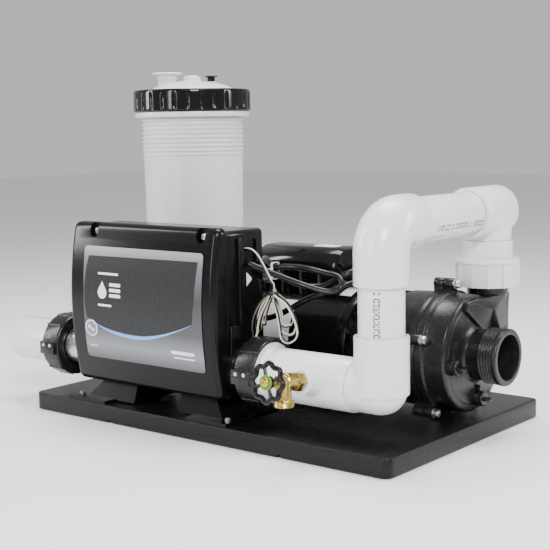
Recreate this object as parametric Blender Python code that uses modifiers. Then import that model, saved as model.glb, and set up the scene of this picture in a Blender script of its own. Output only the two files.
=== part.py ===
"""Spa equipment pack on one base tray.

A circulation pump, a tube heater with its controller box, a cartridge filter and the PVC
plumbing between them.  Metres, +Z up, +X along the tray's front edge, +Y towards the back.
The origin is the middle of the tray's underside.
"""
import math

import bmesh
import bpy
from mathutils import Euler, Matrix, Vector

# ---------------------------------------------------------------- driving dimensions
GAP = 0.0003                      # air between pieces that touch
STEPS = 20                        # facets around an ordinary turned piece

TRAY_W, TRAY_D, TRAY_H = 0.660, 0.404, 0.0265
TRAY_CORNER = 0.0125
DECK = TRAY_H + GAP               # where pieces stand on the tray

PIPE_R, PIPE_BORE = 0.03015, 0.0262       # nominal two-inch pipe
HUB_R, SOCKET_R = 0.0358, 0.0305          # fitting outside and socket
SPIGOT_BODY_R = 0.0335                    # street end of an elbow

HEATER_Y, HEATER_Z = -0.142, 0.097
TUBE_X = (-0.3005, 0.0805)                # heater tube, 381 mm long
TUBE_R, TUBE_FLANGE_R = 0.0300, 0.0400
NUT_R, NUT_THREAD_R, NUT_LIP_R = 0.0480, 0.0435, 0.0325
NUT_LEN = 0.0315

BOX_X = (-0.2435, 0.0475)                 # controller box
BOX_Y = (-0.172, -0.094)
BOX_Z = (0.0567, 0.2905)
COVER_TOP = 0.2960
COVER_EDGE_Y, COVER_CROWN_Y = -0.1866, -0.2010
WALL = 0.004

RISER_X = 0.281
CROSS_Z = 0.3076
UNION_Y = 0.132
PUMP_Y, PUMP_Z = 0.058, 0.1135
MOTOR_R = 0.080
VOLUTE_FRONT_X = 0.3013
PORT_X = 0.355

FILTER_X, FILTER_Y = -0.2305, 0.068
FILTER_R = 0.0813
RING_Z = (0.4585, 0.4940)

VALVE_X = 0.193
VALVE_TILT = math.radians(9.0)            # the drain valve leans up a little

LEAD_R = 0.00425
SENSOR_R = 0.0022

# colour, roughness, metallic
FINISH = {
    "tray": ((0.012, 0.012, 0.013), 0.35, 0.0),
    "black": ((0.010, 0.010, 0.010), 0.30, 0.0),
    "glass_filled": ((0.022, 0.023, 0.026), 0.42, 0.0),
    "motor": ((0.008, 0.008, 0.009), 0.25, 0.2),
    "pvc": ((0.80, 0.81, 0.82), 0.38, 0.0),
    "filter": ((0.66, 0.67, 0.66), 0.42, 0.0),
    "steel": ((0.62, 0.61, 0.60), 0.28, 1.0),
    "brass": ((0.78, 0.56, 0.24), 0.30, 1.0),
    "rubber": ((0.015, 0.015, 0.015), 0.65, 0.0),
    "label": ((0.42, 0.46, 0.52), 0.35, 0.4),
    "board": ((0.02, 0.18, 0.07), 0.50, 0.0),
    "copper": ((0.70, 0.33, 0.16), 0.40, 1.0),
    "paper": ((0.78, 0.80, 0.80), 0.90, 0.0),
    "cream": ((0.72, 0.68, 0.60), 0.50, 0.0),
}

AXIS_TURN = {                             # turns local +Z onto the named direction
    "+X": Euler((0, math.pi / 2, 0)),
    "-X": Euler((0, -math.pi / 2, 0)),
    "+Y": Euler((-math.pi / 2, 0, 0)),
    "-Y": Euler((math.pi / 2, 0, 0)),
    "+Z": Euler((0, 0, 0)),
    "-Z": Euler((math.pi, 0, 0)),
}


# ---------------------------------------------------------------- scene and helpers
for old in list(bpy.data.objects):
    bpy.data.objects.remove(old, do_unlink=True)

PARTS = bpy.data.collections.new("spa_equipment_pack")
CUTTERS = bpy.data.collections.new("cutters")
for made in (PARTS, CUTTERS):
    bpy.context.scene.collection.children.link(made)


def dress(obj, finish):
    """Give an object its own Principled material."""
    colour, roughness, metallic = FINISH[finish]
    mat = bpy.data.materials.new(obj.name + "_finish")
    mat.use_nodes = True
    shader = mat.node_tree.nodes["Principled BSDF"]
    shader.inputs["Base Color"].default_value = (*colour, 1.0)
    shader.inputs["Roughness"].default_value = roughness
    shader.inputs["Metallic"].default_value = metallic
    obj.data.materials.append(mat)


def place(obj, finish):
    """File an object as a part, or as a cutter when it has no finish."""
    if finish is None:
        CUTTERS.objects.link(obj)
        obj.hide_render = True
        obj.display_type = "WIRE"
    else:
        PARTS.objects.link(obj)
        dress(obj, finish)
    return obj


def from_bmesh(name, bm, finish, smooth=True):
    bmesh.ops.recalc_face_normals(bm, faces=bm.faces)
    mesh = bpy.data.meshes.new(name)
    bm.to_mesh(mesh)
    bm.free()
    if smooth:
        mesh.shade_smooth()
        mesh.set_sharp_from_angle(angle=math.radians(32))
    return place(bpy.data.objects.new(name, mesh), finish)


def block(name, low, high, finish, radius=0.0, along=None, segments=3):
    """A box; edges parallel to `along` (or all edges) are rounded by `radius`."""
    low, high = Vector(low), Vector(high)
    bm = bmesh.new()
    bmesh.ops.create_cube(bm, size=1.0)
    bmesh.ops.scale(bm, vec=high - low, verts=bm.verts)
    if radius:
        def chosen(edge):
            if along is None:
                return True
            run = edge.verts[1].co - edge.verts[0].co
            return abs(run["XYZ".index(along)]) > 1e-6
        edges = [edge for edge in bm.edges if chosen(edge)]
        bmesh.ops.bevel(bm, geom=edges, offset=radius, segments=segments, profile=0.5,
                        affect="EDGES", clamp_overlap=True)
    obj = from_bmesh(name, bm, finish)
    obj.location = (low + high) / 2
    return obj


def turned(name, profile, at, axis, finish, steps=STEPS, closed=False):
    """A Screw-turned solid: profile points are (radius, distance along the axis).

    The profile runs from the far end of the axis down the outer side to the near end.
    A closed profile is a ring and never touches the axis.
    """
    mesh = bpy.data.meshes.new(name)
    points = [(radius, 0.0, height) for radius, height in profile]
    edges = [(i, i + 1) for i in range(len(points) - 1)]
    if closed:
        edges.append((len(points) - 1, 0))
    mesh.from_pydata(points, edges, [])
    obj = bpy.data.objects.new(name, mesh)
    screw = obj.modifiers.new("turn", "SCREW")
    screw.steps = screw.render_steps = steps
    screw.use_merge_vertices = True
    screw.merge_threshold = 0.00001
    screw.use_smooth_shade = True
    obj.location = at
    obj.rotation_euler = axis if isinstance(axis, Euler) else AXIS_TURN[axis]
    return place(obj, finish)


def rod(name, radius, start, end, at, axis, finish, steps=STEPS):
    """A plain cylinder between two distances along an axis."""
    profile = [(0, end), (radius, end), (radius, start), (0, start)]
    return turned(name, profile, at, axis, finish, steps)


def ring(name, inner, outer, start, end, at, axis, finish, steps=STEPS):
    """A plain tube between two distances along an axis."""
    profile = [(inner, end), (outer, end), (outer, start), (inner, start)]
    return turned(name, profile, at, axis, finish, steps, closed=True)


def ball(name, radius, at, finish=None, segments=STEPS, rings=12):
    bm = bmesh.new()
    bmesh.ops.create_uvsphere(bm, u_segments=segments, v_segments=rings, radius=radius)
    obj = from_bmesh(name, bm, finish)
    obj.location = at
    return obj


def combine(obj, tool, operation):
    step = obj.modifiers.new(operation.lower() + "_" + tool.name, "BOOLEAN")
    step.operation = operation
    step.solver = "EXACT"
    step.object = tool
    return obj


def add(obj, *tools):
    for tool in tools:
        combine(obj, tool, "UNION")
    return obj


def cut(obj, *tools):
    for tool in tools:
        combine(obj, tool, "DIFFERENCE")
    return obj


def smooth_route(points, spacing):
    """Points every `spacing` along a Catmull-Rom curve through the route's own points."""
    knots = [Vector(p) for p in points]
    knots = [2 * knots[0] - knots[1]] + knots + [2 * knots[-1] - knots[-2]]
    dense = []
    for a, b, c, d in zip(knots, knots[1:], knots[2:], knots[3:]):
        for i in range(24):
            t = i / 24
            dense.append(0.5 * (2 * b + (c - a) * t + (2 * a - 5 * b + 4 * c - d) * t * t
                                + (3 * b - a - 3 * c + d) * t ** 3))
    dense.append(knots[-2])
    total = sum((q - p).length for p, q in zip(dense, dense[1:]))
    count = max(2, round(total / spacing))
    route, walked, target = [dense[0]], 0.0, total / count
    for p, q in zip(dense, dense[1:]):
        step = (q - p).length
        while step > 0 and walked + step >= target * len(route) and len(route) < count:
            route.append(p.lerp(q, (target * len(route) - walked) / step))
        walked += step
    return route + [dense[-1]]


def wire(name, points, radius, finish, cyclic=False, resolution=2):
    """A round wire along a poly spline, with filled ends."""
    data = bpy.data.curves.new(name, "CURVE")
    data.dimensions = "3D"
    data.bevel_depth = radius
    data.bevel_resolution = resolution
    data.use_fill_caps = True
    spline = data.splines.new("POLY")
    spline.points.add(len(points) - 1)
    for point, where in zip(spline.points, points):
        point.co = (*where, 1.0)
    spline.use_cyclic_u = cyclic
    return from_bmesh(name, raised(data), finish)


def raised(data):
    """A curve's surface as a welded bmesh."""
    curve = bpy.data.objects.new(data.name + "_curve", data)
    bpy.context.scene.collection.objects.link(curve)
    bpy.context.view_layer.update()
    evaluated = curve.evaluated_get(bpy.context.evaluated_depsgraph_get())
    mesh = bpy.data.meshes.new_from_object(evaluated)
    bpy.data.objects.remove(curve)
    bm = bmesh.new()
    bm.from_mesh(mesh)
    bpy.data.meshes.remove(mesh)
    bmesh.ops.remove_doubles(bm, verts=bm.verts, dist=1e-6)
    return bm


def extruded(name, outline, start, end, finish, turn=None, at=(0, 0, 0)):
    """A flat outline (x, y) raised from start to end along local Z, as a mesh."""
    data = bpy.data.curves.new(name, "CURVE")
    data.dimensions = "2D"
    data.fill_mode = "BOTH"
    data.extrude = (end - start) / 2
    spline = data.splines.new("POLY")
    spline.points.add(len(outline) - 1)
    for point, (x, y) in zip(spline.points, outline):
        point.co = (x, y, 0.0, 1.0)
    spline.use_cyclic_u = True
    bm = raised(data)
    bmesh.ops.translate(bm, vec=(0, 0, (start + end) / 2), verts=bm.verts)
    if turn is not None:
        bmesh.ops.transform(bm, matrix=turn.to_matrix().to_4x4(), verts=bm.verts)
    obj = from_bmesh(name, bm, finish)
    obj.location = at
    return obj


def on_circle(radius, angle):
    return radius * math.cos(angle), radius * math.sin(angle)


# ---------------------------------------------------------------- base tray and feet
def base_tray():
    half_w, half_d = TRAY_W / 2, TRAY_D / 2
    tray = block("base_tray", (-half_w, -half_d, 0), (half_w, half_d, TRAY_H), "tray",
                 TRAY_CORNER, "Z", 4)
    skin, rib = 0.006, 0.004
    for i, (sx, sy) in enumerate(((-1, -1), (1, -1), (1, 1), (-1, 1))):
        xs = sorted((sx * rib, sx * (half_w - 0.009)))
        ys = sorted((sy * rib, sy * (half_d - 0.009)))
        cut(tray, block(f"tray_pocket_{i}", (xs[0], ys[0], -0.01), (xs[1], ys[1], TRAY_H - skin),
                        None))
    for i, x in enumerate((-0.1615, 0.159)):
        cut(tray, rod(f"tray_notch_{i}", 0.0045, -half_d - 0.01, -half_d + 0.03,
                      (x, 0, 0.0005), "+Y", None, 12))
    return tray


def heater_foot(side, plate_x, post_x, top_x):
    """A slotted base plate with a flared post that carries the heater and its box."""
    name = "heater_foot_" + side
    foot = block(name, (plate_x[0], -0.1995, DECK), (plate_x[1], -0.084, DECK + 0.004), "black")
    bm = bmesh.new()
    bmesh.ops.create_cube(bm, size=1.0)
    low, high = DECK + 0.002, BOX_Z[0] - 0.0006
    for vert in bm.verts:
        top = vert.co.z > 0
        xs, ys = (top_x, (-0.168, -0.100)) if top else (post_x, (-0.178, -0.090))
        vert.co = Vector((xs[1] if vert.co.x > 0 else xs[0], ys[1] if vert.co.y > 0 else ys[0],
                          high if top else low))
    add(foot, from_bmesh(name + "_post", bm, None))
    slot_x = plate_x[0] + 0.012 if side == "left" else plate_x[1] - 0.012
    cut(foot, rod(name + "_slot", 0.0024, -0.01, 0.06, (slot_x, -0.180, 0), "+Z", None, 12))
    screw = [(0, 0.0038), (0.0030, 0.0036), (0.0046, 0.0022), (0.0046, 0), (0.0020, 0),
             (0.0020, -0.0035), (0, -0.0035)]
    turned("foot_screw_" + side, screw, (slot_x, -0.180, DECK + 0.004 + GAP), "+Z", "steel", 12)


# ---------------------------------------------------------------- controller box
def crown_y(z):
    """Front surface of the cover: an arc bowed out between its top and bottom edges."""
    half = (COVER_TOP - BOX_Z[0]) / 2
    rise = COVER_EDGE_Y - COVER_CROWN_Y
    radius = (half * half + rise * rise) / (2 * rise)
    middle = BOX_Z[0] + half
    return COVER_CROWN_Y + radius - math.sqrt(radius * radius - (z - middle) ** 2)


def controller_housing():
    (x0, x1), (y0, y1), (z0, z1) = BOX_X, BOX_Y, BOX_Z
    y0 += GAP
    box = block("controller_housing", (x0, y0, z0), (x1, y1, z1), "black", 0.006, "Y", 2)
    shelf = HEATER_Z + TUBE_R + 0.009
    cavity_top = 0.272
    add(box, block("cord_strip", (x1 - 0.001, -0.1225, 0.1650), (x1 + 0.0055, -0.1165, 0.2795), None))
    for side, x, out in (("left", x0, "-X"), ("right", x1, "+X")):
        add(box, rod("collar_" + side, 0.0365, -0.002, 0.0085, (x, HEATER_Y, HEATER_Z), out, None))
    cut(box,
        block("rim_trim", (x0 - GAP, y0 - 0.05, z0 - 0.01), (x1 + GAP, y0, z1 + 0.01), None),
        block("cavity_upper", (x0 + WALL, y0 - 0.01, shelf + WALL), (x1 - WALL, y1 - WALL, cavity_top),
              None),
        block("cavity_lower", (x0 + WALL, y0 - 0.01, z0 + WALL), (x1 - WALL, y1 - WALL, shelf), None),
        rod("tube_way", TUBE_R + 0.0010, x0 - 0.03, x1 + 0.03, (0, HEATER_Y, HEATER_Z), "+X", None,
            33))
    for name, y, z, radius in (("way_sensor", -0.1276, 0.2635, 0.0032),
                               ("way_lead_upper", -0.1290, 0.2440, 0.0056)):
        cut(box, rod(name, radius, -0.02, 0.02, (x1, y, z), "+X", None, 16))
    cut(box, rod("way_lead_lower", 0.0100, -0.01, 0.01, (0.0290, y1 - 0.002, 0.1577), "+Y", None, 16))
    for i, x in enumerate((-0.1959, 0.0170)):
        cut(box, rod(f"screw_way_{i}", 0.0027, -0.01, 0.014, (x, y0, 0.2830), "+Y", None, 12))
    for i, x in enumerate((-0.185, -0.035)):
        cut(box, rod(f"terminal_way_{i}", 0.0056, shelf - 0.01, shelf + 0.02, (x, HEATER_Y, 0), "+Z",
                     None, 12))
    return box


def controller_cover():
    (x0, x1), rim_y, z0, z1 = BOX_X, BOX_Y[0], BOX_Z[0], COVER_TOP
    count = 8
    front = [(crown_y(z0 + (z1 - z0) * i / count), z0 + (z1 - z0) * i / count)
             for i in range(count + 1)]
    outline = [(rim_y, z0)] + front + [(rim_y, z1)]
    bm = bmesh.new()
    rims = []
    for x in (x0, x1):
        rims.append([bm.verts.new((x, y, z)) for y, z in outline])
    for a in range(len(outline)):
        b = (a + 1) % len(outline)
        bm.faces.new((rims[0][a], rims[0][b], rims[1][b], rims[1][a]))
    bm.faces.new(rims[0])
    bm.faces.new(list(reversed(rims[1])))
    bmesh.ops.recalc_face_normals(bm, faces=bm.faces)
    edges = [edge for edge in bm.edges
             if edge.calc_face_angle(0) > 0.5 and max(v.co.y for v in edge.verts) < rim_y - 1e-5]
    bmesh.ops.bevel(bm, geom=edges, offset=0.007, segments=2, profile=0.5, affect="EDGES",
                    clamp_overlap=True)
    cover = from_bmesh("controller_cover", bm, "black")
    cut(cover, block("cover_hollow", (x0 + WALL, COVER_EDGE_Y + 0.005, z0 + WALL),
                     (x1 - WALL, rim_y + 0.01, 0.2700), None))
    cut(cover, rod("cover_tube_way", TUBE_R + 0.0012, x0 - 0.03, x1 + 0.03,
                   (0, HEATER_Y, HEATER_Z), "+X", None, 33))
    for i, x in enumerate((-0.1959, 0.0170)):
        cut(cover,
            rod(f"cover_pocket_{i}", 0.0085, 0.0075, 0.04, (x, rim_y, 0.2830), "-Y", None, 16),
            rod(f"cover_hole_{i}", 0.0026, -0.01, 0.04, (x, rim_y, 0.2830), "-Y", None, 12))
    for side, x in (("left", -0.1959), ("right", 0.0170)):
        head = [(0, 0.0125), (0.0040, 0.0122), (0.0052, 0.0108), (0.0052, 0.0078), (0.0021, 0.0078),
                (0.0021, -0.0100), (0, -0.0100)]
        turned("cover_screw_" + side, head, (x, rim_y, 0.2830), "-Y", "steel", 12)
    return cover


def front_label():
    """A thin printed overlay on the cover's bowed front."""
    bm = bmesh.new()
    low, high, rows = 0.0960, 0.2620, 6
    rims = []
    for off in (GAP, GAP + 0.0008):
        line = []
        for i in range(rows + 1):
            z = low + (high - low) * i / rows
            line.append((crown_y(z) - off - 0.0006, z))
        rims.append(line)
    outline = rims[0] + list(reversed(rims[1]))
    ends = [[bm.verts.new((x, y, z)) for y, z in outline] for x in (-0.2100, 0.0270)]
    for a in range(len(outline)):
        b = (a + 1) % len(outline)
        bm.faces.new((ends[0][a], ends[0][b], ends[1][b], ends[1][a]))
    bm.faces.new(ends[0])
    bm.faces.new(list(reversed(ends[1])))
    return from_bmesh("front_label", bm, "label")


def electronics():
    block("circuit_board", (-0.215, -0.1045, 0.150), (0.020, -0.1029, 0.262), "board")
    block("transformer", (-0.160, -0.158, 0.1403 + GAP), (-0.105, -0.112, 0.186), "copper", 0.003)


# ---------------------------------------------------------------- heater
def heater():
    x0, x1 = TUBE_X
    at = (0, HEATER_Y, HEATER_Z)
    inner = TUBE_R - 0.0012
    profile = [(inner, x1), (TUBE_FLANGE_R, x1), (TUBE_FLANGE_R, x1 - 0.003), (TUBE_R, x1 - 0.003),
               (TUBE_R, x0 + 0.003), (TUBE_FLANGE_R, x0 + 0.003), (TUBE_FLANGE_R, x0), (inner, x0)]
    tube = turned("heater_tube", profile, at, "+X", "steel", STEPS, closed=True)
    for i, x in enumerate((-0.185, -0.035)):
        cut(tube, rod(f"element_way_{i}", 0.0046, HEATER_Z, HEATER_Z + 0.05, (x, HEATER_Y, 0), "+Z",
                      None, 12))
    add(tube, rod("sensor_well", 0.0035, TUBE_R - 0.0006, TUBE_R + 0.006,
                  (0.0650, HEATER_Y, HEATER_Z), "+Z", None, 12))
    loop = [(-0.185, 0.000, 0.0560), (-0.185, 0.000, 0.010), (-0.175, -0.004, -0.008),
            (-0.140, -0.010, -0.013), (-0.020, -0.010, -0.013), (0.004, 0.000, -0.014),
            (-0.020, 0.011, -0.013), (-0.130, 0.011, -0.008), (-0.150, 0.006, 0.004),
            (-0.130, 0.000, 0.010), (-0.060, 0.000, 0.006), (-0.038, 0.000, 0.016),
            (-0.035, 0.000, 0.0560)]
    route = smooth_route([(x, HEATER_Y + y, HEATER_Z + z) for x, y, z in loop], 0.018)
    wire("heater_element", route, 0.0035, "steel", resolution=1)
    for side, x, out in (("left", x0, "-X"), ("right", x1, "+X")):
        ring("tube_gasket_" + side, 0.0290, 0.0395, GAP, 0.0032, (x, HEATER_Y, HEATER_Z), out,
             "rubber")
        split_nut(side, x, out)


def split_nut(side, flange_x, out):
    """Two half nuts clamped behind the tube's flange, joined by pads at front and back."""
    at = (flange_x, HEATER_Y, HEATER_Z)
    behind = -0.003 - GAP
    profile = [(NUT_THREAD_R, 0.0240), (NUT_R - 0.0015, 0.0240), (NUT_R, 0.0215),
               (NUT_R, behind - 0.0045), (NUT_R - 0.0030, behind - 0.0075),
               (NUT_LIP_R, behind - 0.0075), (NUT_LIP_R, behind), (NUT_THREAD_R, behind)]
    for half, sign in (("upper", 1), ("lower", -1)):
        name = f"split_nut_{side}_{half}"
        nut = turned(name, profile, at, out, "glass_filled", 26, closed=True)
        direction = 1 if out == "+X" else -1
        xs = sorted((flange_x + direction * (behind - 0.0060), flange_x + direction * 0.0220))
        for place_name, sy in (("front", -1), ("back", 1)):
            ys = sorted((HEATER_Y + sy * 0.0445, HEATER_Y + sy * 0.0535))
            add(nut, block(f"{name}_pad_{place_name}", (xs[0], ys[0], HEATER_Z - 0.010),
                           (xs[1], ys[1], HEATER_Z + 0.010), None))
        z_cut = sorted((HEATER_Z + sign * GAP / 2, HEATER_Z - sign * 0.08))
        cut(nut, block(name + "_other_half", (flange_x - 0.06, HEATER_Y - 0.08, z_cut[0]),
                       (flange_x + 0.06, HEATER_Y + 0.08, z_cut[1]), None))


# ---------------------------------------------------------------- plumbing
def left_tailpiece():
    x_face = 0.0035 + GAP
    profile = [(0.0302, 0.1155), (0.0348, 0.1155), (0.0350, 0.0300), (0.0385, 0.0235),
               (0.0385, 0.0225), (0.0425, 0.0215), (0.0425, x_face), (PIPE_BORE, x_face),
               (PIPE_BORE, 0.0780), (0.0302, 0.0785)]
    turned("left_tailpiece", profile, (TUBE_X[0], HEATER_Y, HEATER_Z), "-X", "pvc", STEPS, True)


def tee_body():
    face, end = 0.0035 + GAP, 0.2442 - TUBE_X[1]
    at = (TUBE_X[1], HEATER_Y, HEATER_Z)
    profile = [(SOCKET_R, end), (HUB_R, end), (HUB_R, 0.0300), (0.0385, 0.0260), (0.0385, 0.0225),
               (0.0425, 0.0215), (0.0425, face), (PIPE_BORE, face), (PIPE_BORE, end - 0.028),
               (SOCKET_R, end - 0.0275)]
    tee = turned("tee_body", profile, at, "+X", "pvc", STEPS, True)
    base = (VALVE_X, HEATER_Y, HEATER_Z)
    add(tee, turned("tee_boss", [(0, 0.0460), (0.0150, 0.0460), (0.0165, 0.0330), (0.0165, 0.0300),
                                 (0, 0.0300)], base, valve_turn(), None, 20))
    cut(tee, rod("tee_drain_way", 0.0102, 0.015, 0.06, base, valve_turn(), None, 20))
    return tee


def valve_turn():
    """Local +Z points out of the tee towards the front and a little up."""
    return Euler((math.pi / 2 - VALVE_TILT, 0, 0))


def bent(name, centre, axis_in, axis_out, bend, run_in, run_out, finish, sides=STEPS, count=5):
    """A solid that runs in along one axis, turns about a bend and runs out along another.

    The runs are (distance from the centre, radius) pairs, from the open end inwards and from
    the bend outwards.
    """
    a, b = (AXIS_TURN[axis].to_matrix() @ Vector((0, 0, 1)) for axis in (axis_in, axis_out))
    side = a.cross(b)
    stations = [(a * d, b, r) for d, r in run_in]
    for i in range(count + 1):
        angle = math.pi / 2 * i / count
        inward = -b * math.cos(angle) - a * math.sin(angle)
        radius = run_in[-1][1] * (1 - i / count) + run_out[0][1] * i / count
        stations.append(((a + b) * bend + inward * bend, -inward, radius))
    stations += [(b * d, a, r) for d, r in run_out]
    bm = bmesh.new()
    rings = [[bm.verts.new(mid + up * (r * math.cos(t)) + side * (r * math.sin(t)))
              for t in (2 * math.pi * (k + 0.5) / sides for k in range(sides))]
             for mid, up, r in stations]
    for near, far in zip(rings, rings[1:]):
        for k in range(sides):
            j = (k + 1) % sides
            bm.faces.new((near[k], near[j], far[j], far[k]))
    bm.faces.new(rings[0])
    bm.faces.new(list(reversed(rings[-1])))
    obj = from_bmesh(name, bm, finish)
    obj.location = centre
    return obj


def street_elbow(name, centre, hub_axis, hub_from, hub_to, spigot_axis, seam, tip, bore_depth):
    """A hub on one axis and a narrower spigot on the other, with a round heel."""
    hub = rod(name, HUB_R, hub_from, hub_to, centre, hub_axis, "pvc")
    add(hub,
        rod(name + "_arm", SPIGOT_BODY_R, 0.0, seam, centre, spigot_axis, None),
        rod(name + "_tip", 0.0300, seam - 0.004, tip, centre, spigot_axis, None),
        ball(name + "_heel", SPIGOT_BODY_R - 0.0004, centre, segments=19, rings=9))
    deep = hub_to - bore_depth
    cut(hub, bent(name + "_way", centre, hub_axis, spigot_axis, 0.0265,
                  [(hub_to + 0.01, SOCKET_R), (deep, SOCKET_R), (deep - 0.0005, 0.0250)],
                  [(tip + 0.01, 0.0250)], None, 22))
    return hub


def upper_elbow():
    """A sweep elbow between two hubs."""
    centre = (RISER_X, HEATER_Y, CROSS_Z)
    bend, down, back, depth = 0.0370, 0.0774, 0.0660, 0.028
    elbow = bent("upper_elbow", centre, "-Z", "+Y", bend, [(down, HUB_R)], [(back, HUB_R)], "pvc",
                 26, 6)
    cut(elbow, bent("upper_elbow_way", centre, "-Z", "+Y", bend,
                    [(down + 0.01, SOCKET_R), (down - depth, SOCKET_R),
                     (down - depth - 0.0005, PIPE_BORE)],
                    [(back - depth + 0.0010, PIPE_BORE), (back - depth + 0.0015, SOCKET_R),
                     (back + 0.01, SOCKET_R)], None, 22, 4))
    return elbow


def plumbing():
    left_tailpiece()
    tee_body()
    low = (RISER_X, HEATER_Y, HEATER_Z)
    street_elbow("lower_elbow", low, "+Z", -0.0060, 0.0690, "-X", RISER_X - 0.2442 - GAP, 0.0600,
                 0.0290)
    ring("riser_pipe", PIPE_BORE, PIPE_R, HEATER_Z + 0.0410, CROSS_Z - 0.0774 + 0.0270,
         (RISER_X, HEATER_Y, 0), "+Z", "pvc")
    upper_elbow()
    ring("crossover_pipe", PIPE_BORE, PIPE_R, HEATER_Y + 0.0660 - 0.0260, UNION_Y - 0.0590 + 0.0280,
         (RISER_X, 0, CROSS_Z), "+Y", "pvc")
    down = (RISER_X, UNION_Y, CROSS_Z)
    street_elbow("down_elbow", down, "-Y", -0.0260, 0.0590, "-Z", CROSS_Z - 0.2662 - GAP, 0.0600,
                 0.0290)
    at = (RISER_X, UNION_Y, 0)
    tail = [(SOCKET_R, 0.2662), (0.0356, 0.2662), (0.0356, 0.2420), (0.0385, 0.2322), (0.0388, 0.2262),
            (0.0255, 0.2262), (0.0255, 0.2410), (SOCKET_R, 0.2415)]
    turned("union_tailpiece", tail, at, "+Z", "pvc", STEPS, True)
    union_nut(at)


def union_nut(at):
    ribs = 12
    outline = []
    for i in range(ribs):
        centre = 2 * math.pi * i / ribs
        for share, radius in ((-0.25, 0.0457), (0.25, 0.0457)):
            outline.append(on_circle(radius, centre + share * 2 * math.pi / ribs))
    nut = extruded("union_nut", outline, 0.2005, 0.2345, "pvc", at=at)
    add(nut, turned("union_nut_crown", [(0, 0.2405), (0.0440, 0.2405), (0.0462, 0.2375),
                                        (0.0462, 0.2340), (0, 0.2340)], at, "+Z", None, 23))
    bore = [(0, 0.2600), (0.0366, 0.2600), (0.0366, 0.2400), (0.0399, 0.2325), (0.0399, 0.1900),
            (0, 0.1900)]
    cut(nut, turned("union_nut_bore", bore, at, "+Z", None, 25))
    return nut


# ---------------------------------------------------------------- drain valve
def drain_valve():
    base, turn = (VALVE_X, HEATER_Y, HEATER_Z), valve_turn()
    hexagon = turned("valve_body", [(0, 0.0600), (0.0132, 0.0600), (0.0132, 0.0463), (0.0098, 0.0463),
                                    (0.0098, 0.0340), (0, 0.0340)], base, turn, "brass", 6)
    barrel = turned("valve_barrel", [(0, 0.1080), (0.0062, 0.1080), (0.0062, 0.1020), (0.0092, 0.1015),
                                     (0.0092, 0.0930), (0.0118, 0.0925), (0.0118, 0.0595),
                                     (0, 0.0595)], base, turn, None, 14)
    spout_at = Vector(base) + turn.to_matrix() @ Vector((0, 0, 0.0915))
    spout = turned("valve_spout", [(0, 0.0330), (0.0118, 0.0330), (0.0132, 0.0320), (0.0132, 0.0240),
                                   (0.0100, 0.0225), (0.0100, 0.0), (0, 0.0)],
                   spout_at, "-Z", None, 15)
    add(hexagon, barrel, spout)
    cut(hexagon, rod("valve_spout_way", 0.0085, 0.0, 0.05, spout_at, "-Z", None, 11),
        rod("valve_stem_way", 0.0040, 0.098, 0.12, base, turn, None, 12),
        rod("valve_inlet_way", 0.0070, 0.02, 0.0992, base, turn, None, 14))
    stem = turned("valve_stem", [(0, 0.1275), (0.0036, 0.1275), (0.0036, 0.0925), (0.0060, 0.0922),
                                 (0.0060, 0.0898), (0, 0.0898)], base, turn, "brass", 12)
    handwheel(base, turn)
    return stem


def handwheel(base, turn):
    lobes, points = 8, 32
    route = []
    for i in range(points):
        angle = 2 * math.pi * i / points
        radius = 0.0228 + 0.0018 * math.cos(lobes * angle)
        route.append((*on_circle(radius, angle), 0.0))
    rim = wire("handwheel", route, 0.0034, "black", cyclic=True, resolution=1)
    rim.location = Vector(base) + turn.to_matrix() @ Vector((0, 0, 0.1235))
    rim.rotation_euler = turn
    hub = rod("handwheel_hub", 0.0085, -0.0035, 0.0037, rim.location, turn, None, 16)
    add(rim, hub)
    for i in range(4):
        spoke = block(f"handwheel_spoke_{i}", (0.004, -0.0022, -0.0022), (0.0225, 0.0022, 0.0022),
                      None)
        spoke.location = rim.location
        spoke.rotation_euler = (turn.to_matrix() @ Euler((0, 0, math.pi / 8 + math.pi * i / 2))
                                .to_matrix()).to_euler()
        offset = spoke.rotation_euler.to_matrix() @ Vector((0.01325, 0, 0))
        spoke.location = rim.location + offset
        add(rim, spoke)
    cut(rim, rod("handwheel_way", 0.0039, -0.01, 0.0037 + 0.01, rim.location, turn, None, 12))
    turned("handwheel_screw", [(0, 0.1318), (0.0045, 0.1308), (0.0062, 0.1288), (0.0062, 0.1279),
                               (0, 0.1279)], base, turn, "brass", 16)


# ---------------------------------------------------------------- pump and motor
BOLT_ANGLES = (("top", 90), ("front", 162), ("low_front", 234), ("low_back", 306))
LUG_R = 0.0960


def lug_place(angle):
    """Seen from the suction side, angles turn from the back (+Y) up over the top."""
    across, up = on_circle(LUG_R, math.radians(angle))
    return PUMP_Y + across, PUMP_Z + up


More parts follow.
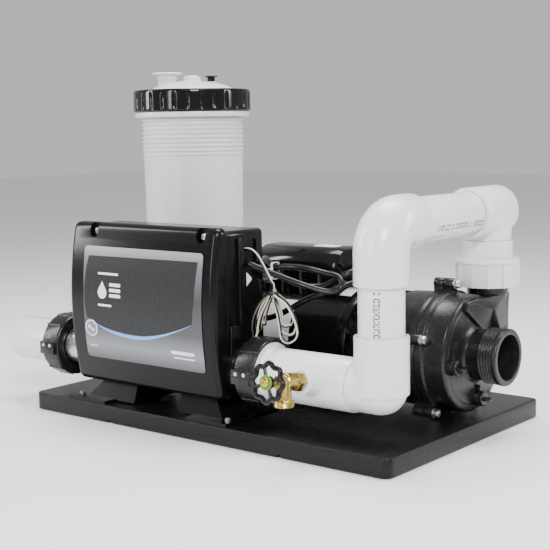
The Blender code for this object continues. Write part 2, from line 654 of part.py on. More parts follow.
def volute():
    at = (0, PUMP_Y, PUMP_Z)
    seam = 0.2560
    front = [(0.0315, PORT_X), (0.0397, PORT_X), (0.0397, 0.3485), (0.0380, 0.3250),
             (0.0355, 0.3245), (0.0355, 0.3060), (0.0450, 0.3030), (0.0790, VOLUTE_FRONT_X),
             (0.0821, 0.2985), (0.0830, 0.2700), (0.0868, 0.2680), (0.0868, seam), (0.0712, seam),
             (0.0712, 0.2915), (0.0315, 0.2965)]
    case = turned("volute_front", front, at, "+X", "glass_filled", 29, True)
    tower = block("tower", (0.2566, UNION_Y - 0.027, PUMP_Z + 0.02), (0.3062, UNION_Y + 0.026, 0.1880),
                  None, 0.010, "Z", 2)
    neck = turned("neck", [(0, 0.2255), (0.0392, 0.2255), (0.0392, 0.2035), (0.0297, 0.2000),
                           (0.0297, 0.1800), (0, 0.1800)], (RISER_X, UNION_Y, 0), "+Z", None)
    add(case, tower, neck)
    cut(case, rod("chamber", 0.0706, 0.2000, 0.2912, at, "+X", None, 27))
    for name, (y, z) in (("side", (PUMP_Y - 0.0640, PUMP_Z - 0.0090)),
                         ("lower", (PUMP_Y + 0.0065, PUMP_Z - 0.0640))):
        add(case, rod("boss_" + name, 0.0112, VOLUTE_FRONT_X - 0.002, VOLUTE_FRONT_X + 0.0085,
                      (0, y, z), "+X", None, 18))
        cut(case, rod("plug_way_" + name, 0.0060, VOLUTE_FRONT_X - 0.03, VOLUTE_FRONT_X + 0.02,
                      (0, y, z), "+X", None, 14))
        drain_plug(name, y, z)
    cut(case, rod("outlet_way", 0.0215, 0.1460, 0.2400, (RISER_X, UNION_Y, 0), "+Z", None, 24))
    rear = [(0.0095, seam - GAP), (0.0868, seam - GAP), (0.0868, 0.2450), (0.0830, 0.2440),
            (0.0815, 0.2000), (0.0770, 0.1980), (0.0750, 0.1700), (0.0680, 0.1650), (0.0680, 0.1360),
            (0.0600, 0.1360), (0.0600, 0.2450), (0.0095, 0.2450)]
    back = turned("volute_rear", rear, at, "+X", "glass_filled", 29, True)
    for name, angle in BOLT_ANGLES:
        y, z = lug_place(angle)
        inward = Vector((0, PUMP_Y - y, PUMP_Z - z)).normalized() * 0.010
        for case_half, start, end in ((case, seam + 0.0003, 0.2705), (back, 0.2400, seam - 0.0006)):
            tag = f"lug_{name}_{case_half.name}"
            lug = rod(tag, 0.0075, start, end, (0, y, z), "+X", None, 10)
            web = block(tag + "_web", (start + 0.0004, -0.0066, -0.0066), (end - 0.0004, 0.0066,
                                                                        0.0066), None)
            web.location = Vector(((start + end) / 2, y, z)) + inward
            web.rotation_euler = (math.radians(angle), 0, 0)
            add(case_half, web, lug)
            cut(case_half, rod(tag + "_way", 0.0035, start - 0.003, end + 0.003, (0, y, z), "+X", None,
                               7))
        bolt = [(0, 0.2790), (0.0052, 0.2790), (0.0062, 0.2780), (0.0062, 0.2708), (0.0030, 0.2708),
                (0.0030, 0.2370), (0, 0.2370)]
        turned("volute_bolt_" + name, bolt, (0, y, z), "+X", "steel", 6)


def drain_plug(name, y, z):
    base = VOLUTE_FRONT_X + 0.0085
    profile = [(0, base + 0.0050), (0.0100, base + 0.0050), (0.0105, base + 0.0040),
               (0.0105, base + GAP), (0.0057, base + GAP), (0.0057, base - 0.0085),
               (0, base - 0.0085)]
    plug = turned("drain_plug_" + name, profile, (0, y, z), "+X", "glass_filled", 20)
    wing = block("wing_" + name, (base + 0.0040, y - 0.0085, z - 0.0015),
                 (base + 0.0160, y + 0.0085, z + 0.0015), None)
    add(plug, wing)


def motor():
    at = (0, PUMP_Y, PUMP_Z)
    shell = [(0.0755, 0.1355), (MOTOR_R, 0.1355), (MOTOR_R, -0.1130), (0.0755, -0.1130)]
    turned("motor_shell", shell, at, "+X", "motor", 32, True)
    cap = [(0.0085, -0.1050), (0.0749, -0.1050), (0.0749, -0.1133), (0.0790, -0.1133),
           (0.0780, -0.1220), (0.0700, -0.1250), (0.0085, -0.1250)]
    end = turned("motor_end_cap", cap, at, "+X", "motor", 26, True)
    for i in range(4):
        y, z = on_circle(0.050, math.pi * (i + 0.55) / 2)
        cut(end, rod(f"vent_{i}", 0.0090, -0.14, -0.09, (0, PUMP_Y + y, PUMP_Z + z), "+X", None, 7))
    ring("stator_core", 0.0462, 0.0750, -0.0600, 0.0700, at, "+X", "copper", 24)
    rotor = [(0, 0.2870), (0.0055, 0.2870), (0.0055, 0.2600), (0.0080, 0.2550), (0.0080, 0.0800),
             (0.0440, 0.0750), (0.0440, -0.0650), (0.0080, -0.0700), (0.0080, -0.1240),
             (0, -0.1240)]
    turned("motor_rotor", rotor, at, "+X", "steel", 24)
    impeller = [(0.0058, 0.2860), (0.0260, 0.2860), (0.0300, 0.2800), (0.0560, 0.2740),
                (0.0560, 0.2660), (0.0100, 0.2640), (0.0058, 0.2640)]
    turned("impeller", impeller, at, "+X", "black", 24, True)
    foot = block("motor_foot", (-0.035, PUMP_Y - 0.062, DECK), (0.060, PUMP_Y + 0.062, 0.0600), "motor")
    cut(foot, rod("foot_saddle", MOTOR_R + GAP, -0.2, 0.2, at, "+X", None, 40),
        block("foot_hollow_0", (-0.028, -0.1, DECK + 0.004), (0.0085, 0.2, 0.1), None),
        block("foot_hollow_1", (0.0165, -0.1, DECK + 0.004), (0.053, 0.2, 0.1), None))
    terminal_cover()


def terminal_cover():
    x0, x1, top = -0.0600, 0.0980, 0.2520
    cover = block("terminal_cover", (x0, PUMP_Y - 0.044, 0.160), (x1, PUMP_Y + 0.044, top), "black",
                  0.020, "X", 3)
    add(cover, block("cover_step", (x0 - 0.0160, PUMP_Y - 0.038, 0.170), (x0 + 0.01, PUMP_Y + 0.038,
                                                                        0.2420), None, 0.018, "X", 3))
    cut(cover, rod("cover_saddle", MOTOR_R + GAP, -0.2, 0.2, (0, PUMP_Y, PUMP_Z), "+X", None, 40),
        block("cover_hollow_motor", (x0 + 0.004, PUMP_Y - 0.034, 0.160), (x1 - 0.004, PUMP_Y + 0.034,
                                                                       0.2420), None))
    for i, x in enumerate((-0.030, 0.046)):
        cut(cover, block(f"cover_recess_{i}", (x, PUMP_Y - 0.05, 0.2010),
                         (x + 0.020, PUMP_Y - 0.0410, 0.2260), None))
    for i, (y, z) in enumerate(((0.056, 0.2220), (0.048, 0.2060))):
        cut(cover, rod(f"cover_lead_way_{i}", LEAD_R + 0.0009, x1 - 0.006, x1 + 0.01, (0, y, z), "+X",
                       None, 12))
    return cover


# ---------------------------------------------------------------- filter
def filter_assembly():
    at = (FILTER_X, FILTER_Y, 0)
    r = FILTER_R
    body = [(0, 0.0500), (0.0712, 0.0500), (0.0745, 0.4850), (0.0875, 0.4850),
            (0.0875, RING_Z[0] - GAP), (0.0935, 0.4580), (0.0935, 0.4500), (0.0830, 0.4495),
            (0.0830, 0.3910), (r, 0.3900), (0.0765, 0.0560), (0.0785, DECK), (0.0700, DECK),
            (0.0690, 0.0440), (0, 0.0440)]
    can = turned("filter_canister", body, at, "+Z", "filter", 31)
    for name, axis in (("outer", "-X"), ("back", "+Y")):
        port = [(0.0268, 0.1150), (HUB_R, 0.1150), (HUB_R, 0.0660), (0.0268, 0.0660)]
        port_at = (FILTER_X, FILTER_Y, 0.0885)
        add(can, turned("port_" + name, port, port_at, axis, None, STEPS, True))
        cut(can, rod("port_bore_" + name, PIPE_BORE, 0.05, 0.13, port_at, axis, None))
    ring("filter_cartridge", 0.0250, 0.0600, 0.0506, 0.4500, at, "+Z", "paper", 24)
    lid = [(0, 0.5180), (0.0130, 0.5160), (0.0150, 0.5085), (0.0450, 0.5045),
           (0.0620, 0.4985), (0.0695, 0.4930), (0.0850, 0.4925), (0.0850, 0.4882), (0.0690, 0.4882),
           (0.0560, 0.4960), (0.0420, 0.4985), (0, 0.5020)]
    cover = turned("filter_lid", lid, at, "+Z", "filter", 23)
    ring("lid_oring", 0.0765, 0.0850, 0.4853, 0.4879, at, "+Z", "rubber", 20)
    port_x, port_y = FILTER_X - 0.0310, FILTER_Y - 0.0250
    add(cover, rod("lid_port", 0.0160, 0.4980, 0.5100, (port_x, port_y, 0), "+Z", None, 20))
    cap = [(0, 0.5225), (0.0235, 0.5225), (0.0250, 0.5212), (0.0250, 0.5195), (0.0210, 0.5185),
           (0.0168, 0.5175), (0.0168, 0.5103), (0, 0.5103)]
    turned("lid_port_cap", cap, (port_x, port_y, 0), "+Z", "filter", 24)
    relief = (FILTER_X + 0.0245, FILTER_Y + 0.0200, 0)
    add(cover, rod("relief_boss", 0.0085, 0.5000, 0.5070, relief, "+Z", None, 16))
    knob = [(0, 0.5165), (0.0105, 0.5165), (0.0105, 0.5140), (0.0062, 0.5130), (0.0062, 0.5073),
            (0, 0.5073)]
    turned("air_relief", knob, relief, "+Z", "black", 16)
    lock_ring(at)


def lock_ring(at):
    top, low = RING_Z[1], RING_Z[0]
    profile = [(0.0705, top), (0.0935, top), (0.0957, top - 0.0020), (0.0957, low + 0.0015),
               (0.0945, low), (0.0880, low), (0.0880, 0.4928), (0.0705, 0.4934)]
    return turned("lock_ring", profile, at, "+Z", "black", 31, True)


# ---------------------------------------------------------------- leads
LEAD_UPPER = [
    (0.0440, -0.1290, 0.2440), (0.0560, -0.1285, 0.2420), (0.0850, -0.1160, 0.2300),
    (0.1186, -0.1040, 0.2180), (0.1500, -0.0980, 0.2100), (0.1700, -0.0930, 0.2085),
    (0.1790, -0.0860, 0.2160), (0.1690, -0.0790, 0.2270), (0.1468, -0.0800, 0.2310),
    (0.1250, -0.0830, 0.2350), (0.1035, -0.0850, 0.2370), (0.0850, -0.0895, 0.2372),
    (0.0680, -0.0925, 0.2362), (0.0480, -0.0820, 0.2420), (0.0320, -0.0700, 0.2440),
    (0.0170, -0.0600, 0.2350), (0.0160, -0.0580, 0.2220), (0.0300, -0.0660, 0.2130),
    (0.0500, -0.0800, 0.2180), (0.0680, -0.0905, 0.2260), (0.0850, -0.0900, 0.2210),
    (0.1100, -0.0830, 0.2120), (0.1350, -0.0720, 0.2110), (0.1520, -0.0600, 0.2200),
    (0.1680, -0.0440, 0.2310), (0.1760, -0.0100, 0.2380), (0.1640, 0.0300, 0.2340),
    (0.1400, 0.0500, 0.2270), (0.1180, 0.0555, 0.2232), (0.0950, 0.0560, 0.2220)]
LEAD_LOWER = [
    (0.0250, -0.0975, 0.1575), (0.0340, -0.0890, 0.1580), (0.0470, -0.0805, 0.1605),
    (0.0640, -0.0785, 0.1665), (0.0830, -0.0800, 0.1755), (0.1026, -0.0800, 0.1861),
    (0.1200, -0.0790, 0.1945), (0.1380, -0.0770, 0.2010), (0.1560, -0.0700, 0.2080),
    (0.1700, -0.0520, 0.2150), (0.1740, -0.0250, 0.2190), (0.1660, 0.0080, 0.2190),
    (0.1450, 0.0350, 0.2140), (0.1200, 0.0460, 0.2080), (0.0950, 0.0480, 0.2060)]
SENSOR_LEAD = [
    (0.0440, -0.1276, 0.2635), (0.0540, -0.1280, 0.2630), (0.0660, -0.1295, 0.2570),
    (0.0770, -0.1300, 0.2440), (0.0850, -0.1295, 0.2310), (0.0905, -0.1285, 0.2210),
    (0.0940, -0.1280, 0.2155)]
HANK_OUTLINE = [
    (0.0900, 0.2130), (0.0900, 0.2040), (0.0800, 0.2010), (0.0680, 0.1900), (0.0590, 0.1740),
    (0.0545, 0.1560), (0.0560, 0.1440), (0.0610, 0.1388), (0.0670, 0.1392), (0.0690, 0.1440),
    (0.0692, 0.1522), (0.1052, 0.1522), (0.1062, 0.1440), (0.1120, 0.1380), (0.1240, 0.1372),
    (0.1360, 0.1420), (0.1415, 0.1530), (0.1400, 0.1680), (0.1300, 0.1850), (0.1130, 0.1990),
    (0.0980, 0.2040), (0.0980, 0.2130)]
HANK_Y = (-0.1350, -0.1210)


def leads():
    """The leads, the tied hank and the tie that bundles the pump leads."""
    wire("pump_lead_upper", smooth_route(LEAD_UPPER, 0.0160), LEAD_R, "rubber")
    wire("pump_lead_lower", smooth_route(LEAD_LOWER, 0.0140), LEAD_R, "rubber")
    wire("sensor_lead", smooth_route(SENSOR_LEAD, 0.0090), SENSOR_R, "cream")
    extruded("sensor_lead_hank", [(x, z) for x, z in reversed(HANK_OUTLINE)], -HANK_Y[1], -HANK_Y[0],
             "cream", turn=Euler((math.pi / 2, 0, 0)))
    band = block("zip_tie", (0.0660, -0.0992, 0.2184), (0.0695, -0.0830, 0.2430), "pvc", 0.003, "X",
                 2)
    cut(band, block("zip_tie_way", (0.05, -0.0980, 0.2196), (0.08, -0.0842, 0.2418), None, 0.002, "X",
                    2))
    add(band, block("zip_tie_head", (0.0650, -0.1040, 0.2300), (0.0705, -0.0984, 0.2350), None))


# ---------------------------------------------------------------- build
base_tray()
heater_foot("left", (-0.2560, -0.1750), (-0.2330, -0.1350), (-0.2050, -0.1350))
heater_foot("right", (-0.0100, 0.0640), (-0.0450, 0.0400), (-0.0450, 0.0200))
controller_housing()
controller_cover()
front_label()
electronics()
heater()
plumbing()
drain_valve()
volute()
motor()
filter_assembly()
leads()
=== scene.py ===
"""Looks for the spa equipment pack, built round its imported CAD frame.  Metres, +Z up."""
import random
from functools import partial
from math import cos, exp, pi, radians, sin, sqrt

import bmesh
import bpy
from mathutils import Euler, Matrix, Vector


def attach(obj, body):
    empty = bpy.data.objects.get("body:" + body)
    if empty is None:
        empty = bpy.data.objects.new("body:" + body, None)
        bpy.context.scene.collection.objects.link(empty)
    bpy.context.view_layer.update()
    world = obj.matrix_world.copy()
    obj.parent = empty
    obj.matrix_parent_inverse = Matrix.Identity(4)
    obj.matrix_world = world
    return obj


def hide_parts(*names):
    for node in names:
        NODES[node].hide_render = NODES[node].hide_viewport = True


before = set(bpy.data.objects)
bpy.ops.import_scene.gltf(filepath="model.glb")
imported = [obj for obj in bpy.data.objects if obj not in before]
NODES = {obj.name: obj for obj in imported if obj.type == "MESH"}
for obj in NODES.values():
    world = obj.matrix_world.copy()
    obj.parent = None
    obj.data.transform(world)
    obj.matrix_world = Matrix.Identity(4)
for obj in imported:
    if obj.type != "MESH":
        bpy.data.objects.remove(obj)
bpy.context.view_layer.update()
TAU = 2 * pi

# ---------------------------------------------------------------- sizes shared with the CAD
GAP = 0.0003
TRAY_W, TRAY_D, TRAY_H = 0.66, 0.404, 0.0265
HEATER = (0, -0.142, 0.097)
HEATER_Y, HEATER_Z = HEATER[1], HEATER[2]
TUBE_X = (-0.3005, 0.0805)
HUB_R, SOCKET_R, PIPE_R, PIPE_BORE = 0.0358, 0.0305, 0.03015, 0.0262
BOX_X, BOX_Y, BOX_Z, COVER_TOP = (-0.2435, 0.0475), (-0.172, -0.094), (0.0567, 0.2905), 0.296
COVER_EDGE_Y, COVER_CROWN_Y = -0.1866, -0.201
COVER_SCREW_X, COVER_SCREW_Z = {"left": -0.1959, "right": 0.017}, 0.283
LABEL_X, LABEL_Z = (-0.21, 0.027), (0.096, 0.262)
RISER_X, CROSS_Z, UNION_Y = 0.281, 0.3076, 0.132
TEE_END, UNION_TOP = 0.2442, 0.2662
PUMP = (0.0, 0.058, 0.1135)
PUMP_Y, PUMP_Z = PUMP[1], PUMP[2]
FILTER = (-0.2305, 0.068, 0.0)
VALVE_X, VALVE_TILT = 0.193, radians(9)

AXIS = {"+X": Euler((0, pi / 2, 0)), "-X": Euler((0, -pi / 2, 0)), "+Y": Euler((-pi / 2, 0, 0)),
        "-Y": Euler((pi / 2, 0, 0)), "+Z": Euler((0, 0, 0)), "-Z": Euler((pi, 0, 0))}


def link(obj):
    bpy.context.scene.collection.objects.link(obj)
    return obj


# ---------------------------------------------------------------- camera
def camera():
    azimuth, elevation, roll = radians(39.009), radians(7.052), -0.01604
    look = Vector((-sin(azimuth) * cos(elevation), cos(azimuth) * cos(elevation), -sin(elevation)))
    right = look.cross(Vector((0, 0, 1))).normalized()
    up = right.cross(look)
    side = right * cos(roll) + up * sin(roll)
    top = up * cos(roll) - right * sin(roll)
    data = bpy.data.cameras.new("camera")
    data.sensor_width, data.lens = 36.0, 77.64
    obj = link(bpy.data.objects.new("camera", data))
    obj.matrix_world = Matrix((
        (side.x, top.x, -look.x, 1.1112), (side.y, top.y, -look.y, -1.3798),
        (side.z, top.z, -look.z, 0.4296), (0, 0, 0, 1)))
    bpy.context.scene.camera = obj


# ---------------------------------------------------------------- materials
def add(tree, kind, **values):
    """A shader node with some of its inputs set."""
    node = tree.nodes.new("ShaderNode" + kind)
    for key, value in values.items():
        node.inputs[key.replace("_", " ")].default_value = value
    return node


def wire(source, output, target, socket):
    target.id_data.links.new(source.outputs[output], target.inputs[socket])


def plain(name, colour, roughness, metallic=0.0, coat=0.0, shine=0.5):
    mat = bpy.data.materials.new(name)
    mat.use_nodes = True
    inputs = mat.node_tree.nodes["Principled BSDF"].inputs
    for key, value in (("Base Color", (*colour, 1.0)), ("Roughness", roughness), ("Metallic", metallic),
                       ("Coat Weight", coat), ("Specular IOR Level", shine), ("Coat Roughness", 0.15)):
        inputs[key].default_value = value
    return mat


def grained(name, colour, other, roughness, spread, scale, bump, depth, metallic=0.0, coat=0.0,
            stretch=(1, 1, 1), blotch=9.0, shine=0.5):
    """Moulded or rolled stuff: blotches of two close colours, uneven gloss and a fine bump."""
    mat = plain(name, colour, roughness, metallic, coat, shine)
    tree = mat.node_tree
    shader = tree.nodes["Principled BSDF"]
    spaced = add(tree, "Mapping", Scale=stretch)
    wire(add(tree, "TexCoord"), "Object", spaced, "Vector")
    broad = add(tree, "TexNoise", Scale=blotch, Detail=5.0)
    wire(spaced, "Vector", broad, "Vector")
    mix = add(tree, "Mix")
    mix.data_type = "RGBA"
    mix.inputs[6].default_value = (*colour, 1.0)
    mix.inputs[7].default_value = (*other, 1.0)
    wire(broad, "Fac", mix, 0)
    wire(mix, 2, shader, "Base Color")
    gloss = add(tree, "MapRange", To_Min=max(0.02, roughness - spread), To_Max=roughness + spread)
    wire(broad, "Fac", gloss, "Value")
    wire(gloss, "Result", shader, "Roughness")
    fine = add(tree, "TexNoise", Scale=scale, Detail=3.0)
    wire(spaced, "Vector", fine, "Vector")
    lift = add(tree, "Bump", Strength=bump, Distance=depth)
    wire(fine, "Fac", lift, "Height")
    wire(lift, "Normal", shader, "Normal")
    return mat


def silver_overlay():
    """Silver ink with a painted reflection and painted shade: darker towards the middle and the lower
    edge, lighter near the top.
    """
    mat = plain("silver_overlay", (0.4, 0.42, 0.45), 0.3, 0.45, coat=0.1, shine=0.3)
    tree = mat.node_tree
    split = add(tree, "SeparateXYZ")
    wire(add(tree, "TexCoord"), "Object", split, "Vector")
    span = add(tree, "MapRange", From_Min=LABEL_Z[0], From_Max=LABEL_Z[1])
    wire(split, "Z", span, "Value")
    # painted reflection and shade down the panel: light bands near the top and just above the lower edge,
    # dark in the middle and at the very bottom
    ramp = add(tree, "ValToRGB")
    stops = ramp.color_ramp.elements
    for at, value in ((0.13, 0.24), (0.3, 0.09), (0.6, 0.07), (0.88, 0.2)):
        stops.new(at).color = (value * 0.93, value * 0.97, value * 1.05, 1)
    stops[0].color = (0.1, 0.1, 0.1 * 1.1, 1)
    stops[-1].color = (0.36 * 0.95, 0.36, 0.36 * 1.04, 1)
    wire(span, "Result", ramp, "Fac")
    wire(ramp, "Color", tree.nodes["Principled BSDF"], "Base Color")
    return mat


def weave_overlay():
    """A dark printed field of fine dots in slanting rows."""
    mat = plain("weave_overlay", (0.03, 0.03, 0.035), 0.34, shine=0.25)
    tree = mat.node_tree
    slant = add(tree, "Mapping", Rotation=(0, radians(45), 0), Scale=(560, 1, 560))
    wire(add(tree, "TexCoord"), "Object", slant, "Vector")
    split = add(tree, "SeparateXYZ")
    wire(slant, "Vector", split, "Vector")
    product = add(tree, "Math")
    product.operation = "MULTIPLY"
    for socket, axis in enumerate("XZ"):
        scaled, wave = add(tree, "Math"), add(tree, "Math")
        scaled.operation, wave.operation = "MULTIPLY", "SINE"
        scaled.inputs[1].default_value = pi
        wire(split, axis, scaled, 0)
        wire(scaled, 0, wave, 0)
        wire(wave, 0, product, socket)
    ramp = add(tree, "ValToRGB")
    low, high = ramp.color_ramp.elements
    low.position, low.color = 0.0, (0.006, 0.0065, 0.0075, 1)
    high.position, high.color = 0.95, (0.06, 0.061, 0.062, 1)
    wire(product, 0, ramp, "Fac")
    wire(ramp, "Color", tree.nodes["Principled BSDF"], "Base Color")
    return mat


def make_materials():
    return {
        "tray": grained("tray_plastic", (0.003, 0.003, 0.0034), (0.006, 0.006, 0.0066), 0.26, 0.05, 420,
                        0.9, 0.0011, shine=0.22),
        "black": grained("box_plastic", (0.0025, 0.0025, 0.0028), (0.004, 0.004, 0.0042), 0.22, 0.04, 900,
                         0.1, 0.0002, shine=0.2),
        "gloss": grained("gloss_black_plastic", (0.002, 0.002, 0.002), (0.004, 0.004, 0.004), 0.12, 0.04,
                         500, 0.05, 0.0002, shine=0.28),
        "filled": grained("glass_filled_plastic", (0.004, 0.0042, 0.0048), (0.013, 0.0135, 0.015), 0.27,
                          0.1, 420, 0.55, 0.0005, blotch=60.0, shine=0.34),
        "motor": grained("motor_enamel", (0.0022, 0.0022, 0.0026), (0.004, 0.004, 0.0046), 0.17, 0.05,
                         240, 0.14, 0.0003, shine=0.3),
        "pvc": grained("white_pvc", (0.66, 0.672, 0.69), (0.72, 0.73, 0.745), 0.27, 0.06, 160, 0.05,
                       0.0003, coat=0.2),
        "filter": grained("filter_plastic", (0.56, 0.566, 0.562), (0.63, 0.635, 0.632), 0.33, 0.06, 190,
                          0.08, 0.0003),
        "steel": grained("brushed_steel", (0.5, 0.49, 0.48), (0.62, 0.61, 0.6), 0.26, 0.08, 240, 0.2,
                         0.0002, metallic=1.0, stretch=(9, 1, 1), blotch=30.0),
        "zinc": grained("plated_steel", (0.42, 0.42, 0.41), (0.6, 0.6, 0.59), 0.3, 0.1, 300, 0.15, 0.0002,
                        metallic=1.0, blotch=60.0),
        "brass": grained("cast_brass", (0.4, 0.27, 0.06), (0.58, 0.42, 0.13), 0.27, 0.09, 260, 0.3,
                         0.0004, metallic=1.0, blotch=45.0),
        "rubber": grained("black_rubber", (0.006, 0.006, 0.006), (0.012, 0.012, 0.012), 0.45, 0.08, 240,
                          0.2, 0.0003),
        "sheath": grained("cable_sheath", (0.003, 0.003, 0.0034), (0.006, 0.006, 0.0068), 0.25, 0.07, 320,
                          0.1, 0.0002, shine=0.34),
        "cream": grained("cream_sheath", (0.52, 0.48, 0.4), (0.62, 0.57, 0.49), 0.42, 0.06, 300, 0.1,
                         0.0002),
        "ink": grained("grey_ink", (0.045, 0.045, 0.06), (0.12, 0.12, 0.15), 0.5, 0.05, 500, 0.05, 0.0001,
                       blotch=120.0),
        "paper_label": grained("paper_label", (0.62, 0.63, 0.64), (0.72, 0.73, 0.74), 0.45, 0.05, 300,
                               0.05, 0.0001),
        "green": grained("green_disc", (0.06, 0.17, 0.005), (0.11, 0.26, 0.01), 0.4, 0.06, 300, 0.1,
                         0.0002),
        "board": grained("circuit_board", (0.01, 0.12, 0.04), (0.03, 0.2, 0.08), 0.4, 0.1, 200, 0.2,
                         0.0003, blotch=40.0),
        "copper": grained("winding", (0.4, 0.18, 0.08), (0.55, 0.28, 0.14), 0.4, 0.1, 300, 0.3, 0.0004,
                          metallic=1.0),
        "media": grained("filter_media", (0.7, 0.72, 0.72), (0.8, 0.81, 0.81), 0.85, 0.05, 220, 0.4,
                         0.0006),
        "arc": plain("blue_line", (0.12, 0.34, 0.75), 0.3, coat=0.5),
        "silver": silver_overlay(),
        "weave": weave_overlay(),
        "badge": grained("badge_white", (0.55, 0.58, 0.62), (0.7, 0.72, 0.75), 0.3, 0.05, 300, 0.05,
                         0.0001, coat=0.4),
        "print": grained("overlay_print", (0.72, 0.74, 0.76), (0.8, 0.82, 0.84), 0.3, 0.05, 400, 0.05,
                         0.0001, coat=0.4),
        "badge_dark": grained("badge_grey", (0.12, 0.14, 0.17), (0.18, 0.2, 0.24), 0.3, 0.05, 300, 0.05,
                              0.0001, coat=0.4)}


M = make_materials()


# ---------------------------------------------------------------- mesh helpers
def finished(name, bm, mat, sharp=35, mats=None):
    bmesh.ops.recalc_face_normals(bm, faces=bm.faces)
    mesh = bpy.data.meshes.new(name)
    bm.to_mesh(mesh)
    bm.free()
    mesh.shade_smooth()
    mesh.set_sharp_from_angle(angle=radians(sharp))
    for one in (mats or [mat]):
        if one is not None:
            mesh.materials.append(M[one])
    return link(bpy.data.objects.new(name, mesh))


def give(obj, body, slot, *nodes):
    """Ride on a body, and stand for CAD nodes when they are named. The slot argument is not used."""
    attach(obj, body)
    if nodes:
        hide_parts(*nodes)
    return obj


def soft(profile, radius, closed=False, steps=2):
    """Round the corners of a profile."""
    points = [Vector(p) for p in profile]
    n, out = len(points), []
    for i, p in enumerate(points):
        if not closed and i in (0, n - 1):
            out.append(p)
            continue
        a, b = points[i - 1] - p, points[(i + 1) % n] - p
        if a.length < 1e-7 or b.length < 1e-7 or a.angle(b) > radians(165):
            out.append(p)
            continue
        cut_a, cut_b = min(radius, a.length * 0.42), min(radius, b.length * 0.42)
        start, end = p + a.normalized() * cut_a, p + b.normalized() * cut_b
        for k in range(steps + 1):
            t = k / steps
            out.append(start * (1 - t) ** 2 + p * (2 * t * (1 - t)) + end * t * t)
    return [tuple(p) for p in out]


def lathe_mesh(bm, profile, steps, closed):
    rows = []
    for radius, height in profile:
        if radius < 1e-6:
            rows.append([bm.verts.new((0, 0, height))])
        else:
            rows.append([bm.verts.new((*polar(radius, TAU * k / steps), height)) for k in range(steps)])
    pairs = list(zip(rows, rows[1:])) + ([(rows[-1], rows[0])] if closed else [])
    for a, b in pairs:
        if len(a) > 1 and len(b) > 1:
            strip(bm, a, b)
        elif len(a) > 1 or len(b) > 1:
            for k in range(steps):
                j = (k + 1) % steps
                bm.faces.new((a[0], b[j], b[k]) if len(a) == 1 else (a[k], a[j], b[0]))


def polar(radius, angle, centre=(0, 0)):
    """The point at a radius and an angle round a centre."""
    return centre[0] + radius * cos(angle), centre[1] + radius * sin(angle)


def strip(bm, near, far, pick=None):
    """Faces between two rings that have the same number of vertices."""
    for k in range(len(near)):
        j = (k + 1) % len(near)
        face = bm.faces.new((near[k], near[j], far[j], far[k]))
        if pick:
            face.material_index = pick(k)


def turn_of(axis):
    return axis if isinstance(axis, Euler) else AXIS[axis]


def placed(at, axis):
    return Matrix.Translation(at) @ turn_of(axis).to_matrix().to_4x4()


def lathe(name, profile, at, axis, mat, steps=96, closed=False, corner=0.0006):
    bm = bmesh.new()
    lathe_mesh(bm, soft(profile, corner, closed) if corner else profile, steps, closed)
    bmesh.ops.transform(bm, matrix=placed(at, axis), verts=bm.verts)
    return finished(name, bm, mat)


def rod(name, radius, start, end, at, axis, mat=None, steps=64, corner=0.0):
    return lathe(name, [(0, end), (radius, end), (radius, start), (0, start)], at, axis, mat, steps,
                 corner=corner)


def block(name, low, high, mat=None, radius=0.0, along=None, segments=3, edge=0.0):
    low, high = Vector(low), Vector(high)
    bm = bmesh.new()
    bmesh.ops.create_cube(bm, size=1.0)
    size = Matrix.Diagonal((*(high - low), 1))
    bmesh.ops.transform(bm, matrix=Matrix.Translation((low + high) / 2) @ size, verts=bm.verts)
    if radius:
        runs = [(e, e.verts[1].co - e.verts[0].co) for e in bm.edges]
        edges = [e for e, run in runs if along is None or abs(run["XYZ".index(along)]) > 1e-6]
        bmesh.ops.bevel(bm, geom=edges, offset=radius, segments=segments, profile=0.5, affect="EDGES",
                        clamp_overlap=True)
    if edge:
        edges = [e for e in bm.edges if e.calc_face_angle(0) > 0.6]
        bmesh.ops.bevel(bm, geom=edges, offset=edge, segments=2, profile=0.5, affect="EDGES",
                        clamp_overlap=True)
    return finished(name, bm, mat)


def ball(name, radius, at, mat=None):
    bm = bmesh.new()
    bmesh.ops.create_uvsphere(bm, u_segments=64, v_segments=32, radius=radius)
    bmesh.ops.translate(bm, vec=at, verts=bm.verts)
    return finished(name, bm, mat)


# shapes that are joined to a piece or cut out of it, and are gone after that
peg, brick, turning = (partial(make, "tool") for make in (rod, block, lathe))


def bake(obj):
    """Apply an object's modifiers."""
    bpy.context.view_layer.update()
    mesh = bpy.data.meshes.new_from_object(
        obj.evaluated_get(bpy.context.evaluated_depsgraph_get()))
    obj.modifiers.clear()
    obj.data = mesh
    return obj


def boolean(obj, tools, operation, sharp=35):
    for tool in tools:
        step = obj.modifiers.new("step", "BOOLEAN")
        step.operation, step.solver, step.object = operation, "EXACT", tool
    bake(obj)
    for tool in tools:
        bpy.data.objects.remove(tool)
    obj.data.shade_smooth()
    obj.data.set_sharp_from_angle(angle=radians(sharp))
    return obj


def joined(obj, *tools):
    return boolean(obj, tools, "UNION")


def cut(obj, *tools):
    return boolean(obj, tools, "DIFFERENCE")


def rounded(obj, width, segments=2, angle=40):
    step = obj.modifiers.new("bevel", "BEVEL")
    step.width, step.segments, step.limit_method = width, segments, "ANGLE"
    step.angle_limit = radians(angle)
    step.use_clamp_overlap = True
    bake(obj)
    obj.data.shade_smooth()
    obj.data.set_sharp_from_angle(angle=radians(50))
    return obj


def prism(name, outline, start, end, at, axis, mat, edge=0.0):
    """An outline (x, y) raised from start to end along an axis."""
    bm = bmesh.new()
    low = [bm.verts.new((x, y, start)) for x, y in outline]
    high = [bm.verts.new((x, y, end)) for x, y in outline]
    strip(bm, low, high)
    bm.faces.new(low[::-1])
    bm.faces.new(high)
    bmesh.ops.transform(bm, matrix=placed(at, axis), verts=bm.verts)
    obj = finished(name, bm, mat)
    return rounded(obj, edge) if edge else obj


